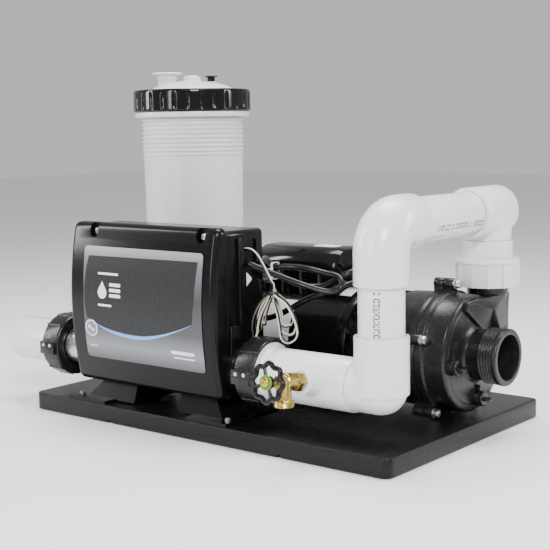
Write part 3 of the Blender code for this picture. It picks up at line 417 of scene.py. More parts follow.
def slab_x(name, outline, x0, x1, mat, edge=0.0):
    """An outline (y, z) raised along X."""
    obj = prism(name, outline, x0, x1, (0, 0, 0), "+Z", mat)
    obj.data.transform(Matrix(((0, 0, 1, 0), (1, 0, 0, 0), (0, 1, 0, 0), (0, 0, 0, 1))))
    return rounded(obj, edge) if edge else obj


def spline(points, count):
    """Points along a Catmull-Rom curve through the route's own points."""
    knots = [Vector(p) for p in points]
    knots = [2 * knots[0] - knots[1]] + knots + [2 * knots[-1] - knots[-2]]
    out = []
    for a, b, c, d in zip(knots, knots[1:], knots[2:], knots[3:]):
        for i in range(count):
            t = i / count
            out.append(0.5 * (2 * b + (c - a) * t + (2 * a - 5 * b + 4 * c - d) * t * t
                              + (3 * b - a - 3 * c + d) * t ** 3))
    return out + [knots[-2]]


def sweep(name, path, outline, mats, pick=None, closed=False, up=Vector((0, 0, 1)), twist=0.0):
    """Sweep a cross-section outline (across, up) along a path."""
    path = [Vector(p) for p in path]
    n = len(path)
    bm = bmesh.new()
    rings, across = [], None
    for i, p in enumerate(path):
        if closed:
            ahead = (path[(i + 1) % n] - path[i - 1]).normalized()
        else:
            ahead = (path[min(i + 1, n - 1)] - path[max(i - 1, 0)]).normalized()
        if across is None:
            across = ahead.cross(up)
            if across.length < 0.1:
                across = ahead.cross(Vector((0, 1, 0)))
        across = (across - ahead * across.dot(ahead)).normalized()
        lift = across.cross(ahead)
        turn = twist * i
        c, s = cos(turn), sin(turn)
        rings.append([bm.verts.new(p + across * (x * c - y * s) + lift * (x * s + y * c))
                      for x, y in outline])
    pairs = list(zip(rings, rings[1:])) + ([(rings[-1], rings[0])] if closed else [])
    for near, far in pairs:
        strip(bm, near, far, pick)
    if not closed:
        bm.faces.new(rings[0][::-1])
        bm.faces.new(rings[-1])
    return finished(name, bm, None, mats=mats)


def circle(radius, sides=16):
    return [polar(radius, TAU * k / sides) for k in range(sides)]


def bent(name, centre, axis_in, axis_out, bend, run_in, run_out, mat=None, sides=72, count=14):
    """A rod that runs in along one axis, turns about a bend and runs out along another."""
    a, b = (AXIS[axis].to_matrix() @ Vector((0, 0, 1)) for axis in (axis_in, axis_out))
    side = a.cross(b)
    stations = [(a * d, b, r) for d, r in run_in]
    for i in range(count + 1):
        angle = pi / 2 * i / count
        inward = -b * cos(angle) - a * sin(angle)
        radius = run_in[-1][1] * (1 - i / count) + run_out[0][1] * i / count
        stations.append(((a + b) * bend + inward * bend, -inward, radius))
    stations += [(b * d, a, r) for d, r in run_out]
    bm = bmesh.new()
    rings = [[bm.verts.new(Vector(centre) + mid + up * (r * cos(t)) + side * (r * sin(t)))
              for t in (TAU * (k + 0.5) / sides for k in range(sides))] for mid, up, r in stations]
    for near, far in zip(rings, rings[1:]):
        strip(bm, near, far)
    bm.faces.new(rings[0])
    bm.faces.new(rings[-1][::-1])
    return finished(name, bm, mat)


# ---------------------------------------------------------------- cords
LEAD_R = 0.00425
LEAD_UPPER = [
    (0.044, -0.129, 0.244), (0.056, -0.1285, 0.242), (0.085, -0.116, 0.23),
    (0.1186, -0.104, 0.218), (0.15, -0.098, 0.21), (0.17, -0.093, 0.2085),
    (0.179, -0.086, 0.216), (0.169, -0.079, 0.227), (0.1468, -0.08, 0.231),
    (0.125, -0.083, 0.235), (0.1035, -0.085, 0.237), (0.085, -0.0895, 0.2372),
    (0.068, -0.0925, 0.2362), (0.048, -0.082, 0.242), (0.032, -0.07, 0.244),
    (0.017, -0.06, 0.235), (0.016, -0.058, 0.222), (0.03, -0.066, 0.213),
    (0.05, -0.08, 0.218), (0.068, -0.0905, 0.226), (0.085, -0.09, 0.221),
    (0.11, -0.083, 0.212), (0.135, -0.072, 0.211), (0.152, -0.06, 0.22),
    (0.168, -0.044, 0.231), (0.176, -0.01, 0.238), (0.164, 0.03, 0.234),
    (0.14, 0.05, 0.227), (0.118, 0.0555, 0.2232), (0.095, 0.056, 0.222)]
LEAD_LOWER = [
    (0.025, -0.0975, 0.1575), (0.034, -0.089, 0.158), (0.047, -0.0805, 0.1605),
    (0.064, -0.0785, 0.1665), (0.083, -0.08, 0.1755), (0.1026, -0.08, 0.1861),
    (0.12, -0.079, 0.1945), (0.138, -0.077, 0.201), (0.156, -0.07, 0.208),
    (0.17, -0.052, 0.215), (0.174, -0.025, 0.219), (0.166, 0.008, 0.219),
    (0.145, 0.035, 0.214), (0.12, 0.046, 0.208), (0.095, 0.048, 0.206)]
SENSOR_LEAD = [
    (0.044, -0.1276, 0.2635), (0.054, -0.128, 0.263), (0.066, -0.1295, 0.257),
    (0.077, -0.13, 0.244), (0.085, -0.1295, 0.231), (0.0905, -0.1285, 0.221),
    (0.094, -0.128, 0.2155)]
TIE = (0.094, 0.206)
LEFT_LOBE = [(0.083, 0.2), (0.07, 0.187), (0.0612, 0.171), (0.0575, 0.155), (0.059, 0.1445),
             (0.063, 0.1418), (0.0664, 0.1475), (0.068, 0.159), (0.0745, 0.176), (0.085, 0.193)]
RIGHT_LOBE = [(0.104, 0.201), (0.12, 0.191), (0.133, 0.175), (0.1385, 0.158), (0.1355, 0.146),
              (0.125, 0.1405), (0.114, 0.1415), (0.1088, 0.149), (0.1085, 0.162), (0.104, 0.179),
              (0.0985, 0.193)]


def length_of(path):
    return sum((Vector(b) - Vector(a)).length for a, b in zip(path, path[1:]))


def hank_route():
    """The lead's own route, then three turns of a bow: left loop, right loop, left loop ..."""
    route = list(SENSOR_LEAD)
    turns = ((-0.1326, 1.0, 1.0), (-0.128, 0.9, 0.87), (-0.1236, 0.74, 0.7))
    for turn, (y, left, right) in enumerate(turns):
        for lobe, size in ((LEFT_LOBE, left), (RIGHT_LOBE, right)):
            shift = 0.0013 if lobe is RIGHT_LOBE else -0.0013
            route.append((TIE[0] + shift * (turn - 1), y, TIE[1] - 0.0004 * turn))
            for k, (x, z) in enumerate(lobe):
                sway = 0.0008 * sin(2.1 * k + 2 * turn)
                route.append((TIE[0] + (x - TIE[0]) * (size ** 1.4 if x < TIE[0] else size), y + sway,
                              TIE[1] + (z - TIE[1]) * size + sway))
    route.append((TIE[0] + 0.001, -0.1245, TIE[1] + 0.004))
    return route


def cords():
    for name, points, node in (("pump_cable_upper", LEAD_UPPER, "pump_lead_upper"),
                               ("pump_cable_lower", LEAD_LOWER, "pump_lead_lower")):
        path = spline(points, 6)
        cable = sweep(name, path, circle(LEAD_R, 20), ["sheath"])
        give(cable, "base", "cable_black", node)
        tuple(points[1])
        round(length_of(path), 2)
    path = spline(hank_route(), 5)
    strand = 0.00112
    outline = []
    for side, first in ((1, -140), (-1, 40)):
        outline += [polar(strand, radians(first + 280 * k / 9), (side * strand * 0.98, 0))
                    for k in range(10)]
    twin = sweep("sensor_cable", path, outline, ["cream", "sheath"], pick=lambda k: 0 if k < 10 else 1,
                 up=Vector((0, 1, 0)), twist=0.05)
    give(twin, "base", "cable_cream", "sensor_lead", "sensor_lead_hank")
    tie_path = [(TIE[0] + 0.0068 * cos(a), -0.128 + 0.0078 * sin(a), TIE[1] - 0.001)
                for a in (TAU * k / 40 for k in range(40))]
    tie = sweep("twist_tie", tie_path, [(x * 0.5, y * 2.2) for x, y in circle(0.0011, 12)], ["rubber"],
                closed=True)
    tail = sweep("twist_tie_tail", spline([(TIE[0], -0.1358, 0.205), (TIE[0] + 0.002, -0.138, 0.203),
                                           (TIE[0] + 0.005, -0.139, 0.1985),
                                           (TIE[0] + 0.006, -0.138, 0.194)], 6),
                 [(x * 0.5, y * 1.6) for x, y in circle(0.0011, 12)], ["rubber"])
    for piece in (tie, tail):
        give(piece, "base", "cable_black")
    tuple(SENSOR_LEAD[1])
    round(length_of(path), 2)
    band = block("zip_band", (0.0662, -0.0991, 0.2186), (0.0693, -0.0832, 0.2428), "pvc", 0.003, "X")
    cut(band, brick((0.05, -0.0981, 0.2196), (0.08, -0.0842, 0.2418), None, 0.002, "X"))
    joined(band, brick((0.0652, -0.1038, 0.2302), (0.0703, -0.0984, 0.2348), None, edge=0.0005))
    give(band, "base", "pvc", "zip_tie")


# ---------------------------------------------------------------- tray and feet
def tray():
    w, d = TRAY_W / 2, TRAY_D / 2
    slab = block("tray", (-w, -d, 0), (w, d, TRAY_H), "tray", 0.0125, "Z", 6, edge=0.0022)
    tools = []
    for sx in (-1, 1):
        for sy in (-1, 1):
            xs, ys = sorted((sx * 0.004, sx * (w - 0.009))), sorted((sy * 0.004, sy * (d - 0.009)))
            tools.append(brick((xs[0], ys[0], -0.01), (xs[1], ys[1], TRAY_H - 0.006)))
    for x in (-0.1615, 0.159):
        tools.append(peg(0.0045, -d - 0.01, -d + 0.03, (x, 0, 0.0005), "+Y", steps=32))
    cut(slab, *tools)
    give(slab, "base", "tray_plastic", "base_tray")


# ---------------------------------------------------------------- controller box
def crown_y(z):
    half = (COVER_TOP - BOX_Z[0]) / 2
    rise = COVER_EDGE_Y - COVER_CROWN_Y
    radius = (half * half + rise * rise) / (2 * rise)
    return COVER_CROWN_Y + radius - sqrt(radius * radius - (z - BOX_Z[0] - half) ** 2)


def crown_sheet(name, outline, lift, mat, thickness=0.00025):
    """A thin sheet of the given outline (x, z) that follows the cover's bowed front."""
    bm = bmesh.new()
    bm.faces.new([bm.verts.new((x, 0, z)) for x, z in outline])
    zs = [z for _, z in outline]
    rows = max(2, int((max(zs) - min(zs)) / 0.006))
    for i in range(1, rows):
        z = min(zs) + (max(zs) - min(zs)) * i / rows
        bmesh.ops.bisect_plane(bm, geom=bm.faces[:] + bm.edges[:] + bm.verts[:], dist=1e-7,
                               plane_co=(0, 0, z), plane_no=(0, 0, 1))
    for v in bm.verts:
        v.co.y = crown_y(v.co.z) - lift
    bmesh.ops.triangulate(bm, faces=bm.faces)
    bmesh.ops.recalc_face_normals(bm, faces=bm.faces)
    if sum(f.normal.y for f in bm.faces) > 0:
        bmesh.ops.reverse_faces(bm, faces=bm.faces)
    out = bmesh.ops.extrude_face_region(bm, geom=bm.faces[:])
    for v in (g for g in out["geom"] if isinstance(g, bmesh.types.BMVert)):
        v.co.y -= thickness
    return finished(name, bm, mat, sharp=50)


def rounded_rect(x0, x1, z0, z1, r, n=6):
    points = []
    for cx, cz, a in ((x1 - r, z1 - r, 0), (x0 + r, z1 - r, 90), (x0 + r, z0 + r, 180),
                      (x1 - r, z0 + r, 270)):
        for k in range(n + 1):
            points.append(polar(r, radians(a + 90 * k / n), (cx, cz)))
    return points


def cover():
    (x0, x1), rim_y, z0, z1 = BOX_X, BOX_Y[0], BOX_Z[0], COVER_TOP
    count = 20
    front = [(crown_y(z0 + (z1 - z0) * i / count), z0 + (z1 - z0) * i / count) for i in range(count + 1)]
    outline = [(rim_y, z0)] + front + [(rim_y, z1)]
    bm = bmesh.new()
    ends = [[bm.verts.new((x, y, z)) for y, z in outline] for x in (x0, x1)]
    strip(bm, *ends)
    bm.faces.new(ends[0])
    bm.faces.new(ends[1][::-1])
    bmesh.ops.recalc_face_normals(bm, faces=bm.faces)
    edges = [e for e in bm.edges
             if e.calc_face_angle(0) > 0.5 and min(v.co.y for v in e.verts) < rim_y - 1e-5]
    bmesh.ops.bevel(bm, geom=edges, offset=0.0095, segments=6, profile=0.5, affect="EDGES",
                    clamp_overlap=False)
    shell = finished("box_cover", bm, "black", sharp=50)
    tools = [brick((x0 + 0.004, COVER_EDGE_Y + 0.005, z0 + 0.004), (x1 - 0.004, rim_y + 0.01, 0.27))]
    tools.append(peg(0.0312, x0 - 0.03, x1 + 0.03, HEATER, "+X"))
    for x in COVER_SCREW_X.values():
        arc = [polar(0.0085, radians(a)) for a in range(190, 360, 10)]
        pocket = prism("tool", [(-0.0085, 0.03), (-0.0085, 0), *arc, (0.0085, 0), (0.0085, 0.03)],
                       0.0075, 0.04, (x, rim_y, COVER_SCREW_Z), "-Y", None)
        tools += [pocket, peg(0.0026, -0.01, 0.04, (x, rim_y, COVER_SCREW_Z), "-Y", steps=32)]
    cut(shell, *tools)
    give(shell, "cover", "black_plastic", "controller_cover")
    for side, x in COVER_SCREW_X.items():
        head = [(0, 0.0125), (0.004, 0.0122), (0.0052, 0.0108), (0.0052, 0.0078), (0.0021, 0.0078),
                (0.0021, -0.01), (0, -0.01)]
        screw = lathe("cover_screw_" + side + "_head", head, (x, rim_y, COVER_SCREW_Z), "-Y", "zinc", 32)
        cut(screw, brick((x - 0.003, rim_y - 0.014, 0.2825), (x + 0.003, rim_y - 0.0112, 0.2835)),
            brick((x - 0.0005, rim_y - 0.014, 0.28), (x + 0.0005, rim_y - 0.0112, 0.286)))
        give(screw, "cover", "steel", "cover_screw_" + side)
    overlay()


def overlay():
    """Plain print in place of the maker's own: a silver panel, a dark field, a blue line, a drop."""
    def sheet(tag, outline, lift, mat, *nodes):
        give(crown_sheet("overlay_" + tag, outline, lift, mat), "cover", "overlay", *nodes)

    sheet("silver", rounded_rect(*LABEL_X, *LABEL_Z, 0.006), 0.001, "silver", "front_label")
    low = [(0.008, 0.163), (-0.015, 0.1545), (-0.045, 0.1455), (-0.075, 0.1395), (-0.1, 0.1375),
           (-0.13, 0.1385), (-0.16, 0.1425), (-0.185, 0.149), (-0.205, 0.157)]
    field = ([(-0.2, 0.248), (-0.204, 0.23), (-0.2068, 0.205), (-0.2068, 0.18)]
             + [(p.x, p.y) for p in reversed(spline([(x, z, 0) for x, z in low], 4))]
             + [(0.0115, 0.19), (0.0145, 0.22), (0.0178, 0.25)])
    sheet("field", field, 0.0013, "weave")
    upper, lower = [], []
    for k, p in enumerate(spline([(x, z, 0) for x, z in low[:-1]], 5)):
        wide = 0.0003 + 0.0048 * sin(pi * (k / 35) ** 1.3) ** 1.2
        upper.append((p.x - 0.001, p.y - 0.0008))
        lower.append((p.x - 0.001, p.y - 0.0011 - wide))
    sheet("arc", upper + lower[::-1], 0.0016, "arc")
    for tag, wide, high, lift, mat in (("badge", 0.0132, 0.0125, 0.0019, "badge"),
                                       ("badge_field", 0.0108, 0.0102, 0.0022, "badge_dark")):
        disc = [(-0.1947 + wide * x, 0.1405 + high * z) for x, z in circle(1, 48)]
        sheet(tag, disc, lift, mat)
    wave = [(-0.202 + 0.0146 * k / 20, 0.142 + 0.0028 * sin(TAU * k / 20)) for k in range(21)]
    wave += [(x, z - 0.0034) for x, z in reversed(wave)]
    sheet("badge_wave", wave, 0.0025, "badge")
    drop = [(-0.169, 0.212)] + [polar(0.009, radians(a), (-0.169, 0.195)) for a in range(25, -206, -10)]
    sheet("drop", drop[::-1], 0.0016, "print")
    for tag, x0, x1, z, half in (
            ("title", -0.178, -0.136, 0.223, 0.0016), ("name_a", -0.154, -0.131, 0.2075, 0.0024),
            ("name_b", -0.154, -0.131, 0.1995, 0.0024), ("name_c", -0.154, -0.131, 0.1915, 0.0024),
            ("subtitle", -0.178, -0.15, 0.1765, 0.0016), ("foot_a", -0.034, 0.01, 0.1205, 0.0024),
            ("foot_b", -0.03, 0.01, 0.113, 0.001), ("foot_c", -0.201, -0.185, 0.114, 0.0007)):
        sheet(tag, rounded_rect(x0, x1, z - half, z + half, half * 0.6, 3), 0.0016, "print")


def housing():
    (x0, x1), (y0, y1), (z0, z1) = BOX_X, BOX_Y, BOX_Z
    y0 += GAP
    shell = block("box_housing", (x0, y0, z0), (x1, y1, z1), "black", 0.007, "Y", 5, edge=0.0012)
    tab = brick((x1 - 0.001, -0.15, 0.16), (x1 + 0.005, -0.14, 0.2805), None, edge=0.001)
    step = brick((x1 - 0.001, -0.169, 0.12), (x1 + 0.0045, -0.149, 0.16), None, edge=0.0012)
    collars = [peg(0.0365, -0.002, 0.0085, (x, HEATER_Y, HEATER_Z), out)
               for x, out in ((x0, "-X"), (x1, "+X"))]
    joined(shell, tab, step, *collars)
    cut(shell,
        brick((x0 - GAP, y0 - 0.05, z0 - 0.01), (x1 + GAP, y0, z1 + 0.01)),
        brick((x0 + 0.004, y0 - 0.01, 0.14), (x1 - 0.004, y1 - 0.004, 0.272)),
        brick((x0 + 0.004, y0 - 0.01, z0 + 0.004), (x1 - 0.004, y1 - 0.004, 0.136)),
        peg(0.031, x0 - 0.03, x1 + 0.03, HEATER, "+X"),
        peg(0.0032, -0.02, 0.02, (x1, -0.1276, 0.2635), "+X", steps=32),
        peg(0.0056, -0.02, 0.02, (x1, -0.129, 0.244), "+X", steps=32),
        peg(0.01, -0.01, 0.01, (0.029, y1 - 0.002, 0.1577), "+Y", steps=32),
        brick((x1 - 0.003, -0.134, 0.244), (x1 + 0.01, -0.108, 0.277), None, 0.003, "X"))
    give(shell, "base", "black_plastic", "controller_housing")
    chip = slab_x("box_side_mark", [(-0.13, 0.231), (-0.13, 0.2115), (-0.119, 0.22), (-0.1205, 0.2235)],
                  x1 - 0.0001, x1 + 0.0003, "paper_label")
    give(chip, "base", "black_plastic")


# ---------------------------------------------------------------- heater and its nuts
def heater():
    x0, x1 = TUBE_X
    inner, outer, flange = 0.0288, 0.03, 0.04
    profile = [(inner, x1), (flange, x1), (flange, x1 - 0.003), (outer, x1 - 0.003), (outer, x0 + 0.003),
               (flange, x0 + 0.003), (flange, x0), (inner, x0)]
    tube = lathe("tube", profile, HEATER, "+X", "steel", 96, True, 0.0004)
    give(tube, "base", "steel", "heater_tube")
    for side, x, out in (("left", x0, "-X"), ("right", x1, "+X")):
        split_nut(side, x, out)


def split_nut(side, flange_x, out):
    behind = -0.0033
    sign = 1 if out == "+X" else -1
    at = (flange_x, HEATER_Y, HEATER_Z)
    profile = [(0.0435, 0.024), (0.0465, 0.024), (0.0475, 0.0225), (0.0475, behind - 0.0045),
               (0.0452, behind - 0.0075), (0.0325, behind - 0.0075), (0.0325, behind), (0.0435, behind)]
    for half, up in (("upper", 1), ("lower", -1)):
        nut = lathe(f"nut_{side}_{half}", profile, at, out, "filled", 96, True, 0.0008)
        xs = sorted((flange_x + sign * (behind - 0.006), flange_x + sign * 0.022))
        tools = []
        for sy in (-1, 1):
            ys = sorted((HEATER_Y + sy * 0.0445, HEATER_Y + sy * 0.0533))
            tools.append(brick((xs[0], ys[0], HEATER_Z - 0.0098), (xs[1], ys[1], HEATER_Z + 0.0098), None,
                               edge=0.0012))
        for k in range(12):
            angle = TAU * (k + 0.5) / 12
            if abs(cos(angle)) > 0.94:
                continue
            spot = (flange_x, *polar(0.0463, angle, HEATER[1:]))
            tools.append(peg(0.0026, behind - 0.003, 0.0232, spot, out, steps=12))
        joined(nut, *tools)
        z_cut = sorted((HEATER_Z + up * GAP / 2, HEATER_Z - up * 0.08))
        cut(nut, brick((flange_x - 0.06, HEATER_Y - 0.08, z_cut[0]),
                       (flange_x + 0.06, HEATER_Y + 0.08, z_cut[1])))
        give(nut, "nut_" + side, "filled_plastic", f"split_nut_{side}_{half}")
    for x in (xs[0] + 0.0085, xs[1] - 0.0085):
        screw = lathe(f"nut_{side}_screw_{'a' if x < sum(xs) / 2 else 'b'}",
                      [(0, 0.0541), (0.0026, 0.0539), (0.003, 0.0532), (0.003, 0.05), (0, 0.05)],
                      (x, HEATER_Y, HEATER_Z + 0.0045), "-Y", "zinc", 24)
        give(screw, "nut_" + side, "steel")


# ---------------------------------------------------------------- plumbing
INK = 0.00012  # how far the print stands off a pipe


def pipe_marks(tag, at, axis, radius, angle, start, run, tall, seed):
    """Generic print along a pipe: upright strokes and short cross strokes, no letters."""
    turn = turn_of(axis).to_matrix()
    rng = random.Random(seed)
    bm = bmesh.new()

    def patch(centre, half, low, high):
        corners = []
        for side, along in ((-half, low), (half, low), (half, high), (-half, high)):
            spot = polar(radius + INK, angle + (centre + side) / radius)
            corners.append(bm.verts.new(Vector(at) + turn @ Vector((*spot, along))))
        bm.faces.new(corners)

    along = start
    while along < start + run:
        wide = rng.uniform(0.0036, 0.0052)
        patch(0, tall / 2, along, along + 0.0019)
        if rng.random() < 0.7:
            patch(0, tall / 2 * rng.uniform(0.6, 1.0), along + wide - 0.0012, along + wide + 0.0004)
        for level in rng.sample((-0.42, 0.0, 0.42), rng.choice((1, 2))):
            patch(level * tall, 0.0008, along + 0.0018, along + wide - 0.0012)
        along += wide + (0.0017 if rng.random() < 0.78 else 0.005)
    out = bmesh.ops.extrude_face_region(bm, geom=bm.faces[:])
    ahead = turn @ Vector((0, 0, 1))
    for v in (g for g in out["geom"] if isinstance(g, bmesh.types.BMVert)):
        spoke = v.co - Vector(at)
        spoke -= ahead * spoke.dot(ahead)
        v.co += spoke.normalized() * INK
    give(finished("print_" + tag, bm, "ink"), "base", "pvc")


def sleeve(inner, outer, start, end):
    return [(inner, end), (outer, end), (outer, start), (inner, start)]


def turned_pvc(name, profile, at, axis, *nodes, corner=0.0006):
    give(lathe(name, profile, at, axis, "pvc", 96, True, corner), "base", "pvc", *nodes)


def street_elbow(name, centre, hub_axis, hub_from, hub_to, spigot_axis, seam, tip, depth):
    hub = rod(name, HUB_R, hub_from, hub_to, centre, hub_axis, "pvc", 96, 0.0012)
    joined(hub, peg(0.0335, 0, seam, centre, spigot_axis, steps=90, corner=0.0008),
           peg(0.03, seam - 0.004, tip, centre, spigot_axis, steps=84), ball("tool", 0.0332, centre))
    deep = hub_to - depth
    cut(hub, bent("tool", centre, hub_axis, spigot_axis, 0.0265,
                  [(hub_to + 0.01, SOCKET_R), (deep, SOCKET_R), (deep - 0.0005, 0.025)],
                  [(tip + 0.01, 0.025)], None, 70))
    give(hub, "base", "pvc", name)


def plumbing():
    face = 0.0038
    tail = [(0.0302, 0.1155), (0.0348, 0.1155), (0.035, 0.03), (0.0385, 0.0235), (0.0385, 0.0225),
            (0.0425, 0.0215), (0.0425, face), (PIPE_BORE, face), (PIPE_BORE, 0.078), (0.0302, 0.0785)]
    turned_pvc("return_tailpiece", tail, (TUBE_X[0], HEATER_Y, HEATER_Z), "-X", "left_tailpiece",
               corner=0.0008)
    end = TEE_END - TUBE_X[1]
    body = [(SOCKET_R, end), (HUB_R, end), (HUB_R, 0.03), (0.0385, 0.026), (0.0385, 0.0225),
            (0.0425, 0.0215), (0.0425, face), (PIPE_BORE, face), (PIPE_BORE, end - 0.028),
            (SOCKET_R, end - 0.0275)]
    tee = lathe("tee", body, (TUBE_X[1], HEATER_Y, HEATER_Z), "+X", "pvc", 96, True, 0.0012)
    base = (VALVE_X, HEATER_Y, HEATER_Z)
    joined(tee, turning([(0, 0.057), (0.0152, 0.057), (0.0166, 0.055), (0.017, 0.04), (0.02, 0.033),
                         (0, 0.03)], base, valve_turn(), None, 48, corner=0.001))
    cut(tee, peg(0.0102, 0.015, 0.07, base, valve_turn(), steps=40))
    give(tee, "base", "pvc", "tee_body")
    street_elbow("lower_elbow", (RISER_X, HEATER_Y, HEATER_Z), "+Z", -0.006, 0.069, "-X",
                 RISER_X - TEE_END - GAP, 0.06, 0.029)
    turned_pvc("riser", sleeve(PIPE_BORE, PIPE_R, HEATER_Z + 0.041, CROSS_Z - 0.0504),
               (RISER_X, HEATER_Y, 0), "+Z", "riser_pipe")
    centre = (RISER_X, HEATER_Y, CROSS_Z)
    bend, down, back, depth = 0.037, 0.0774, 0.066, 0.028
    lip = [(0, HUB_R - 0.0008), (0.0004, HUB_R - 0.0002), (0.001, HUB_R)]
    elbow = bent("sweep_elbow", centre, "-Z", "+Y", bend, [(down - d, r) for d, r in lip],
                 [(back - d, r) for d, r in lip[::-1]], "pvc", 96, 24)
    run_in = [(down + 0.01, SOCKET_R), (down - depth, SOCKET_R), (down - depth - 0.0005, PIPE_BORE)]
    run_out = [(back - depth + 0.001, PIPE_BORE), (back - depth + 0.0015, SOCKET_R),
               (back + 0.01, SOCKET_R)]
    cut(elbow, bent("tool", centre, "-Z", "+Y", bend, run_in, run_out, None, 70, 14))
    give(elbow, "base", "pvc", "upper_elbow")
    turned_pvc("sweep_elbow_line", sleeve(HUB_R - 0.001, HUB_R + 0.0002, -0.0002, 0.0002),
               (RISER_X, HEATER_Y, 0.2712), "+Z", corner=0)
    turned_pvc("crossover", sleeve(PIPE_BORE, PIPE_R, HEATER_Y + 0.04, UNION_Y - 0.031),
               (RISER_X, 0, CROSS_Z), "+Y", "crossover_pipe")
    street_elbow("down_elbow", (RISER_X, UNION_Y, CROSS_Z), "-Y", -0.026, 0.059, "-Z",
                 CROSS_Z - UNION_TOP - GAP, 0.06, 0.029)
    at = (RISER_X, UNION_Y, 0)
    tail = [(SOCKET_R, UNION_TOP), (0.0356, UNION_TOP), (0.0356, 0.242), (0.0385, 0.2322),
            (0.0388, 0.2262), (0.0255, 0.2262), (0.0255, 0.241), (SOCKET_R, 0.2415)]
    turned_pvc("union_tail", tail, at, "+Z", "union_tailpiece", corner=0.0008)
    union_ring(at)
    pipe_marks("riser", (RISER_X, HEATER_Y, 0), "+Z", PIPE_R, radians(-68), 0.168, 0.06, 0.0085, 3)
    pipe_marks("crossover", (RISER_X, 0, CROSS_Z), "+Y", PIPE_R, radians(22), -0.052, 0.118, 0.0085, 5)


def union_ring(at):
    outline = []
    for k in range(12):
        middle = TAU * k / 12
        for share, radius in ((-0.3, 0.0436), (-0.085, 0.0436), (-0.065, 0.0458), (0.065, 0.0458),
                              (0.085, 0.0436), (0.3, 0.0436)):
            outline.append(polar(radius, middle + share * TAU / 12))
    nut = prism("union_ring_nut", outline, 0.2005, 0.2345, at, "+Z", "pvc")
    joined(nut, turning([(0, 0.2405), (0.044, 0.2405), (0.0462, 0.2385), (0.0462, 0.2342), (0, 0.2342)],
                        at, "+Z", None, 96))
    cut(nut, turning([(0, 0.26), (0.0366, 0.26), (0.0366, 0.24), (0.0399, 0.2325), (0.0399, 0.19),
                      (0, 0.19)], at, "+Z", None, 84, corner=0.0))
    rounded(nut, 0.0006)
    give(nut, "union_ring", "pvc", "union_nut")


# ---------------------------------------------------------------- drain valve
def valve_turn():
    return Euler((pi / 2 - VALVE_TILT, 0, 0))


def out_of(turn):
    return turn.to_matrix() @ Vector((0, 0, 1))


def valve():
    base, turn = Vector((VALVE_X, HEATER_Y, HEATER_Z)), valve_turn()
    body = prism("drain_valve", circle(0.0132, 6), 0.0575, 0.072, base, turn, "brass", 0.0007)
    barrel = turning([(0, 0.108), (0.0062, 0.108), (0.0062, 0.102), (0.0088, 0.1015), (0.0088, 0.0935),
                      (0.0118, 0.0915), (0.0118, 0.08), (0.0102, 0.076), (0.0108, 0.0715), (0, 0.0715)],
                     base, turn, None, 64, corner=0.001)
    neck = peg(0.0098, 0.034, 0.058, base, turn, steps=48)
    spout_at = base + out_of(turn) * 0.0915
    spout = turning([(0, 0.0318), (0.0118, 0.0318), (0.013, 0.0314), (0.0124, 0.0312), (0.0132, 0.03),
                     (0.0124, 0.0288), (0.0132, 0.0276), (0.0124, 0.0264), (0.0132, 0.0252),
                     (0.0128, 0.0235), (0.0102, 0.0222), (0.01, 0), (0, 0)], spout_at, "-Z", None, 64,
                    corner=0.0003)
    joined(body, neck, barrel, spout)
    cut(body, peg(0.0085, 0.0, 0.05, spout_at, "-Z", steps=40),
        peg(0.004, 0.098, 0.12, base, turn, steps=24), peg(0.007, 0.02, 0.0992, base, turn, steps=32))
    give(body, "base", "brass", "valve_body")
    gland = prism("valve_gland", circle(0.009, 6), 0.1022, 0.106, base, turn, "brass", 0.0005)
    cut(gland, peg(0.0063, 0.09, 0.12, base, turn, steps=32))
    give(gland, "base", "brass")
    wheel(base, turn)


def wheel(base, turn):
    centre = base + out_of(turn) * 0.1235
    place = placed(centre, turn)
    path = []
    for i in range(160):
        a = TAU * i / 160
        path.append(place @ Vector((*polar(0.0228 + 0.0018 * cos(8 * a), a), 0)))
    rim = sweep("wheel_rim", path, circle(0.0034, 16), ["gloss"], closed=True, up=out_of(turn))
    tools = [turning([(0, 0.0037), (0.0078, 0.0037), (0.0088, 0.002), (0.0088, -0.003), (0, -0.0035)],
                     centre, turn, None, 48)]
    spoke = ((0.004, 0.0), (0.011, 0.0006), (0.017, 0.0), (0.0225, 0.0))
    for k in range(4):
        spoke_path = [place @ Vector((*polar(r, pi / 8 + k * pi / 2), z)) for r, z in spoke]
        tools.append(sweep("tool", spoke_path, [(x * 0.9, y) for x, y in circle(0.0025, 14)], []))
    joined(rim, *tools)
    cut(rim, peg(0.0039, -0.01, 0.02, centre, turn, steps=24))
    give(rim, "wheel", "black_plastic", "handwheel")
    screw = lathe("wheel_screw", [(0, 0.1328), (0.003, 0.1325), (0.0056, 0.1308), (0.0064, 0.129),
                                  (0.0064, 0.1282), (0, 0.1282)], base, turn, "brass", 40)
    give(screw, "wheel", "brass", "handwheel_screw")
    disc = lathe("wheel_disc", [(0.0045, 0.1282), (0.0098, 0.128), (0.0098, 0.1274), (0.0045, 0.1274)],
                 base, turn, "green", 48, True, 0.0002)
    give(disc, "wheel", "black_plastic")


# ---------------------------------------------------------------- pump
BOLTS = (("top", 90), ("front", 162), ("low_front", 234), ("low_back", 306))


def threads(profile_top, profile_low, crest, valley, pitch):
    """Zigzag outline points of a thread, from the top down."""
    points, z = [], profile_top
    while z - pitch > profile_low:
        points += [(valley, z), (crest, z - pitch * 0.32), (crest, z - pitch * 0.58),
                   (valley, z - pitch * 0.9)]
        z -= pitch
    return points


